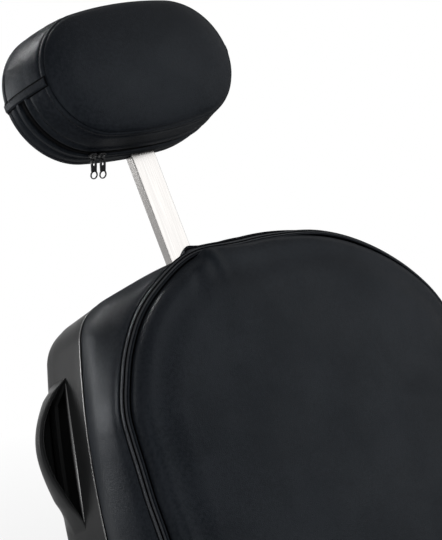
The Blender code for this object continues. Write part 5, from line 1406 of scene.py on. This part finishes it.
def seat_ring(inset, z):
    corner = max(0.012, SEAT_CORNER - inset)
    flat = evenly(rounded_box(SEAT_HALF - inset, SEAT_FRONT + inset, SEAT_REAR - inset, corner), ROUND_SEAT)
    return np.column_stack([flat, np.full(ROUND_SEAT, z)])


def seat_rings(rows):
    return [seat_ring(inset, z) for inset, z in rows]


SEAT_FLOOR = SEAT_LOW + SEAT_WALL
SEAT_BOARD_T = 0.012
# the tray's rim and its inner wall: inset, level
TRAY_INNER = ((0.0002, SEAT_RIM - 0.0018), (0.0008, SEAT_RIM - 0.0006), (0.0018, SEAT_RIM),
              (0.0030, SEAT_RIM - 0.0004), (SEAT_WALL, SEAT_RIM - 0.0022), (SEAT_WALL + 0.001, SEAT_LOW + 0.020),
              (SEAT_WALL + 0.006, SEAT_LOW + 0.009), (0.026, SEAT_FLOOR), (0.060, SEAT_FLOOR))
# the double seam between border and top panel: inset, rise from the seam's level, look; the folds carry a painted
# highlight
SEAT_SEWN = ((0.0072, -0.0062, PLAIN), (0.0075, -0.0050, PAINTED_FOLD_HIGHLIGHT), (0.0080, -0.0038, PAINTED_FOLD_HIGHLIGHT), (0.0088, -0.0034, PAINTED_FOLD_HIGHLIGHT),
             (0.0094, -0.0040, PAINTED_FOLD_HIGHLIGHT), (0.0097, -0.0050, PLAIN), (0.0101, -0.0036, PLAIN), (0.0106, -0.0024, PAINTED_FOLD_HIGHLIGHT),
             (0.0113, -0.0019, PAINTED_FOLD_HIGHLIGHT), (0.0119, -0.0024, PAINTED_FOLD_HIGHLIGHT), (0.0122, -0.0034, PLAIN), (0.0128, -0.0018, PLAIN),
             (0.0140, -0.0008, PLAIN), (0.0156, -0.0010, PLAIN), (0.0166, -0.0030, PLAIN), (0.0172, -0.0058, PLAIN),
             (0.0178, -0.0062, PLAIN), (0.0184, -0.0042, PLAIN), (0.0192, -0.0012, PLAIN), (0.0204, 0.0008, PLAIN))


def seat_tray():
    low = SEAT_LOW
    outer = through([(0.060, low), (0.022, low), (0.007, low + 0.006), (0.001, low + 0.020),
                     (0.0, SEAT_RIM - 0.003)], 4)
    tray = loft("seat_tray", np.array(seat_rings(outer) + seat_rings(TRAY_INNER)), SHELL_PLASTIC, "seat",
                slot="shell_plastic", stands_for=("seat_shell",))
    sharpen(tray, 50.0)


def seat_cushion():
    base = SEAT_FLOOR + FIT + SEAT_BOARD_T + FIT
    wall_in = SEAT_WALL + 0.002
    rings = seat_rings(((0.060, base), (0.014, base), (wall_in, base + 0.008), (wall_in - 0.0005, SEAT_RIM)))
    border = through([(0.001, SEAT_RIM + 0.006), (-0.0035, SEAT_RIM + 0.018), (-0.0030, SEAT_RIM + 0.032),
                      (0.0032, SEAT_SEAM - 0.0080), (0.0068, SEAT_SEAM - 0.0052)], 6)
    rings += seat_rings(border)
    looks = [PLAIN] * len(rings)
    for inset, rise, look in SEAT_SEWN:
        rings.append(seat_ring(inset, SEAT_SEAM + rise))
        looks.append(look)
    crown = through([(0.0230, SEAT_SEAM + 0.0030), (0.0300, SEAT_SEAM + 0.0068), (0.0420, SEAT_SEAM + 0.0112),
                     (0.0650, SEAT_SEAM + 0.0158), (0.1000, SEAT_CROWN - 0.0040), (0.1400, SEAT_CROWN - 0.0012),
                     (0.2000, SEAT_CROWN)], 5)
    first_panel = len(rings)
    rings += seat_rings(crown)
    last = rings[-1].copy()
    middle = last.mean(axis=0)
    for share in (0.8, 0.6, 0.4, 0.2, 0.05):
        ring = middle + (last - middle) * share
        ring[:, 2] = SEAT_CROWN + 0.0006
        rings.append(ring)
    looks += [PLAIN] * (len(rings) - len(looks))
    rings = np.array(rings)
    for row in range(first_panel, len(rings)):
        held = soft_step(np.array([row - first_panel]), 0.0, 8.0)[0]
        rings[row][:, 2] += ripple(rings[row] * np.array((1.0, 1.0, 0.0)), *SEAT_WAVE) * held
    for row in range(5, 4 + len(border) - 4):
        rings[row][:, :2] += outward(rings[row][:, :2]) * ripple(rings[row], *SEAT_BORDER_WAVE)[:, None]
    cover = loft("seat_cushion_cover", rings, [LEATHER, PAINTED_HIGHLIGHT_LEATHER], "seat", ring_looks=looks, slot="leather",
                 stands_for=("seat_cushion",))
    for label, inset, rise in (("outer", 0.0097, -0.0047), ("inner", 0.0122, -0.0031)):
        ring = seat_ring(inset, SEAT_SEAM + rise)
        normal = np.column_stack([outward(ring[:, :2]) * 0.6, np.full(ROUND_SEAT, 0.8)])
        stitches("seat_seam_thread_" + label, ring, normal, "seat", length=SEAM_STITCH, thick=SEAM_THREAD)


seat_tray()
seat_cushion()
refined("seat_board", PLYWOOD, "seat")
for node in ("seat_rail_left", "arm_post_left", "seat_rail_right", "arm_post_right", "seat_crossbar", "seat_plate"):
    refined(node, BLACK_STEEL, "seat", 0.0012)
refined("footrest_strut", BLACK_STEEL, "seat", 0.0020)


def rounded_block(size, radius, cells, crown=0.0):
    """Block with round edges on a fine grid, centred on its place; its top may swell."""
    half = np.array(size) / 2.0
    verts, index, faces = [], {}, []

    def corner(i, j, k):
        key = (i, j, k)
        if key not in index:
            p = np.array([-half[a] + size[a] * (i, j, k)[a] / cells[a] for a in range(3)])
            core = np.clip(p, radius - half, half - radius)
            away = p - core
            length = np.linalg.norm(away)
            if length > 1e-9:
                p = core + away / length * radius
            if p[2] > 0.0:
                p[2] += crown * (1 - (p[0] / half[0]) ** 2) * (1 - (p[1] / half[1]) ** 4) * p[2] / half[2]
            index[key] = len(verts)
            verts.append(p)
        return index[key]

    for axis in range(3):
        u, v = (axis + 1) % 3, (axis + 2) % 3
        for level in (0, cells[axis]):
            for i in range(cells[u]):
                for j in range(cells[v]):
                    quad = []
                    for di, dj in ((0, 0), (1, 0), (1, 1), (0, 1)):
                        at = [0, 0, 0]
                        at[axis], at[u], at[v] = level, i + di, j + dj
                        quad.append(corner(*at))
                    faces.append(quad)
    return np.array(verts), faces


ARM_CROWN, ARM_EDGE_R, ARM_CELLS, ARM_PUFF = 0.003, 0.0125, (26, 72, 14), 0.95


def arm_pads():
    wide, long, tall = ARM_PAD
    for side, word in SIDES:
        verts, faces = rounded_block((wide, long, tall - ARM_CROWN), ARM_EDGE_R, ARM_CELLS, ARM_CROWN)
        verts[:, 0] *= 1.0 - 0.10 * soft_step(np.abs(verts[:, 1]), 0.09, 0.15)
        verts += np.array((side * ARM_X, ARM_Y + 0.010, ARM_TOP + FIT + 0.5 * (tall - ARM_CROWN)))
        pad = piece("arm_pad_skin_" + word, verts, faces, ARM_FOAM, "seat", "arm_foam",
                    stands_for=("arm_pad_" + word,))


arm_pads()


SLEEVE_PITCH, SLEEVE_GROOVE = 0.0075, 0.0011


def foot_rest():
    along = Matrix(((0, 0, 1, 0), (0, 1, 0, FOOT_Y), (-1, 0, 0, FOOT_Z), (0, 0, 0, 1)))
    bar = [(FOOT_R - 0.002, -FOOT_HALF), (FOOT_R, -FOOT_HALF), (FOOT_R, FOOT_HALF), (FOOT_R - 0.002, FOOT_HALF)]
    turned("foot_bar_tube", bar, 0.0006, CHROME, "seat", "chrome", "foot_bar", 72, at=along)
    for side, word in SIDES:
        inner, outer = FOOT_SLEEVE_IN, FOOT_HALF + 0.006
        r_in, r_out = FOOT_R + FIT, FOOT_R + FIT + FOOT_SLEEVE_T
        points = [(0.0, FOOT_HALF + FIT), (r_in, FOOT_HALF + FIT), (r_in, inner), (r_out - 0.0012, inner),
                  (r_out, inner + 0.0015)]
        for start in np.arange(inner + 0.008, outer - 0.014, SLEEVE_PITCH):
            points += [(r_out, start), (r_out - SLEEVE_GROOVE, start + 0.0007),
                       (r_out - SLEEVE_GROOVE, start + 0.0021), (r_out, start + 0.0028)]
        points += [(r_out, outer - 0.0048), (r_out - 0.0012, outer - 0.0016), (r_out - 0.0045, outer), (0.0, outer)]
        profile = np.array(points) * np.array((1.0, side))
        lathe("foot_sleeve_grip_" + word, profile, RUBBER, "seat", "rubber", ("foot_sleeve_" + word,), 72, along)


foot_rest()


# Recline release and gas spring

refined("release_lever", CHROME, "release", 0.0010)
refined("gas_cylinder", BLACK_STEEL, "spring_cylinder", 0.0006)
refined("gas_rod", CHROME, "spring_rod", 0.0006)
refined("spring_anchor", ZINC, "seat", 0.0006)
refined("spring_pin", ZINC, "seat", 0.0005)


RELEASE_AT, RELEASE_TILT = (-0.266, -0.005, 0.3875), math.atan2(0.014, 0.087)


def release_knob():
    seat = Matrix.Translation(RELEASE_AT) @ Matrix.Rotation(0.5 * math.pi - RELEASE_TILT, 4, "X")
    profile = through([(0.0085, -0.0215), (0.0100, -0.0222), (0.0115, -0.0210), (0.0134, -0.010), (0.0150, 0.002),
                       (0.0146, 0.011), (0.0122, 0.018), (0.0080, 0.0218), (0.0030, 0.0230), (0.0, 0.0230)], 4)
    bore = np.array([(0.0, FIT), (0.0084, FIT), (0.0084, -0.0215)])
    lathe("release_knob_ball", np.vstack([bore, profile]), KNOB_PLASTIC, "release", "knob_plastic", ("release_knob",),
          72, seat)


release_knob()


# Lift column, pedal and base

def column():
    pump_low, ram_seat, bore = BASE_T + FIT, RAM_LOW - 0.005, RAM_R + FIT
    pump = [(0.0, pump_low), (FLANGE_R, pump_low), (FLANGE_R, pump_low + FLANGE_T), (PUMP_R, pump_low + FLANGE_T),
            (PUMP_R, PUMP_TOP), (bore, PUMP_TOP), (bore, ram_seat), (0.0, ram_seat)]
    turned("pump_casting", pump, 0.0012, BLACK_STEEL, "base", "black_steel", "pump_body", steps=3)
    sleeve = [(PUMP_R + FIT, SLEEVE_LOW), (SLEEVE_R, SLEEVE_LOW), (SLEEVE_R, PUMP_TOP), (PUMP_R + FIT, PUMP_TOP)]
    turned("column_sleeve_tube", sleeve, 0.0010, CHROME, "base", "chrome", "column_sleeve", 128)
    low = PUMP_TOP + FIT
    wiper = [(bore + FIT, low), (SLEEVE_R, low), (SLEEVE_R, WIPER_TOP - 0.006), (SLEEVE_R - 0.012, WIPER_TOP),
             (bore + FIT, WIPER_TOP)]
    turned("wiper_ring_rubber", wiper, 0.0016, RUBBER, "base", "rubber", "wiper_ring")
    top = PLATE_LOW - 0.010
    ram = [(0.0, RAM_LOW), (RAM_R, RAM_LOW), (RAM_R, top), (0.0, top)]
    turned("lift_ram_rod", ram, 0.0020, CHROME, "ram", "chrome", "lift_ram")
    hub_top = PLATE_LOW - FIT
    hub = [(0.0, top + FIT), (bore, top + FIT), (bore, HUB_LOW), (HUB_R - 0.004, HUB_LOW), (HUB_R, HUB_LOW + 0.004),
           (HUB_R, hub_top), (0.0, hub_top)]
    turned("swivel_hub_casting", hub, 0.0012, BLACK_STEEL, "seat", "black_steel", "swivel_hub", steps=3)


def base():
    plate = [(0.0, 0.0), (BASE_R, 0.0), (BASE_R, BASE_T), (0.0, BASE_T)]
    turned("base_plate_disc", plate, 0.0015, BLACK_STEEL, "base", "black_steel", "base_plate", 192, 3)
    ring_in, ring_out = BASE_R + FIT, BASE_R + FIT + RING_W
    ring = [(ring_in, 0.0), (ring_out - 0.002, 0.0), (ring_out, 0.003), (ring_out, RING_H - 0.003),
            (ring_out - 0.003, RING_H), (ring_in, RING_H)]
    turned("base_ring_rubber", ring, 0.0016, RUBBER, "base", "rubber", "base_ring", 192)
    edge, inside, low = BASE_R - 0.002, SLEEVE_R + 0.001, BASE_T + FIT
    dome = []
    for t in np.linspace(0.0, 1.0, 49):
        dome.append((edge + (inside - edge) * t, low + 0.006 + COVER_RISE * math.sin(0.5 * math.pi * t) ** 1.6))
    rolled = [(edge, low), (edge + 0.0002, low + 0.003), (edge - 0.0004, low + 0.0052)]
    under = [(r, max(low, z - 0.0028)) for r, z in dome[4:][::-1]]
    lathe("base_cover_dome", rolled + dome[2:] + under + [(edge - 0.002, low)], CHROME, "base", "chrome",
          ("base_cover",), 192)


column()
base()
refined("pedal_bracket", BLACK_STEEL, "base", 0.0012)
refined("pedal_pin", ZINC, "base", 0.0006)
refined("pedal_lever", CHROME, "pedal", 0.0012)


PEDAL_PAD, PEDAL_EDGE_R, PEDAL_CELLS = (0.084, 0.052, 0.022), 0.0062, (42, 78, 10)
PEDAL_RIB_PITCH, PEDAL_RIB_DEEP = 0.0078, 0.0018
PEDAL_AT, PEDAL_TILT = (0.0, 0.350, 0.148), math.atan2(0.030 + 0.004, 0.350 - 0.086 - 0.085)


def pedal_pad():
    verts, faces = rounded_block(PEDAL_PAD, PEDAL_EDGE_R, PEDAL_CELLS)
    ribs = 0.5 + 0.5 * np.cos(2.0 * math.pi * verts[:, 1] / PEDAL_RIB_PITCH)
    flat = soft_step(verts[:, 2], 0.0075, 0.0105) * (1.0 - soft_step(np.abs(verts[:, 0]), 0.030, 0.036))
    flat = flat * (1.0 - soft_step(np.abs(verts[:, 1]), 0.017, 0.020))
    verts[:, 2] -= PEDAL_RIB_DEEP * flat * soft_step(ribs, 0.35, 0.65)
    verts[:, 1] += 0.006
    seat = Matrix.Translation(PEDAL_AT) @ Matrix.Rotation(PEDAL_TILT, 4, "X")
    verts = verts @ np.array(seat.to_3x3()).T + np.array(seat.translation)
    piece("pedal_pad_rubber", verts, faces, RUBBER, "pedal", "rubber", stands_for=("pedal_pad",))


pedal_pad()


# Floor, lamps and surroundings

FLOOR_HALF, FLOOR_Z = 40, -0.0005
# place, aim, size, watts, spread in degrees
LAMPS = (
    ("lamp_left", (-1.78, 2.76, 1.00), (-0.2, 0.5, 0.80), (0.9, 0.9), 66.0, 180.0),
    ("lamp_front_right", (2.3, -1.6, 2.9), (0.0, 0.5, 0.95), (2.8, 2.8), 78.0, 180.0),
    ("lamp_front_left", (-1.45, -1.29, 2.31), (-0.1, 0.4, 0.9), (1.0, 1.0), 20.0, 180.0),
    ("lamp_rear", (-0.02, 3.1, 2.3), (-0.12, 0.72, 1.46), (0.6, 0.6), 1.6, 16.0),
    ("lamp_low", (-2.2, -1.2, 0.50), (-0.1, 0.5, 1.0), (1.0, 0.6), 20.0, 180.0),
)


def seen_rays(tree):
    """One for rays from the camera, straight or by way of a mirror or glass, and nought for lighting rays."""
    ray = put(tree, "ShaderNodeLightPath").outputs
    seen = reckon(tree, "MAXIMUM", ray["Is Camera Ray"], ray["Is Glossy Ray"])
    return reckon(tree, "MAXIMUM", seen, ray["Is Transmission Ray"])


def studio_floor():
    mesh = bpy.data.meshes.new("studio_floor")
    corners = ((-1, -1), (1, -1), (1, 1), (-1, 1))
    mesh.from_pydata([(FLOOR_HALF * x, FLOOR_HALF * y, FLOOR_Z) for x, y in corners], [], [(0, 1, 2, 3)])
    shown("studio_floor", mesh)
    look, tree, shader = blank("white_floor", Base_Color=(0.86, 0.86, 0.86, 1.0), Roughness=0.9,
                               Specular_IOR_Level=0.0)
    seen = seen_rays(tree)
    spot = put(tree, "ShaderNodeNewGeometry").outputs["Position"]
    away = put(tree, "ShaderNodeVectorMath", {0: spot}, operation="LENGTH").outputs["Value"]
    far = ranged(tree, away, 0.9, 2.4)
    glow = put(tree, "ShaderNodeEmission", {"Color": (1.0, 1.0, 1.0, 1.0), "Strength": 1.0})
    mix = put(tree, "ShaderNodeMixShader", {0: reckon(tree, "MULTIPLY", seen, far)})
    tree.links.new(shader.outputs["BSDF"], mix.inputs[1])
    tree.links.new(glow.outputs["Emission"], mix.inputs[2])
    tree.links.new(mix.outputs["Shader"], tree.nodes["Material Output"].inputs["Surface"])
    mesh.materials.append(look)


def studio_air():
    world = bpy.data.worlds.new("studio")
    world.use_nodes = True
    tree = world.node_tree
    air = tree.nodes["Background"]
    air.inputs["Color"].default_value = (1.0, 1.0, 1.0, 1.0)
    tree.links.new(ranged(tree, seen_rays(tree), 0.0, 1.0, 0.38, 1.0), air.inputs["Strength"])
    bpy.context.scene.world = world


def studio_lamp(name, spot, aim, size, watts, spread):
    light = bpy.data.lights.new(name, "AREA")
    light.shape = "RECTANGLE"
    light.size, light.size_y = size
    light.energy = watts
    light.spread = math.radians(spread)
    thing = shown(name, light)
    thing.location = spot
    thing.rotation_euler = (Vector(aim) - Vector(spot)).to_track_quat("-Z", "Y").to_euler()


studio_floor()
studio_air()
for row in LAMPS:
    studio_lamp(*row)
bpy.context.scene.view_settings.view_transform = "Standard"

bpy.context.view_layer.update()
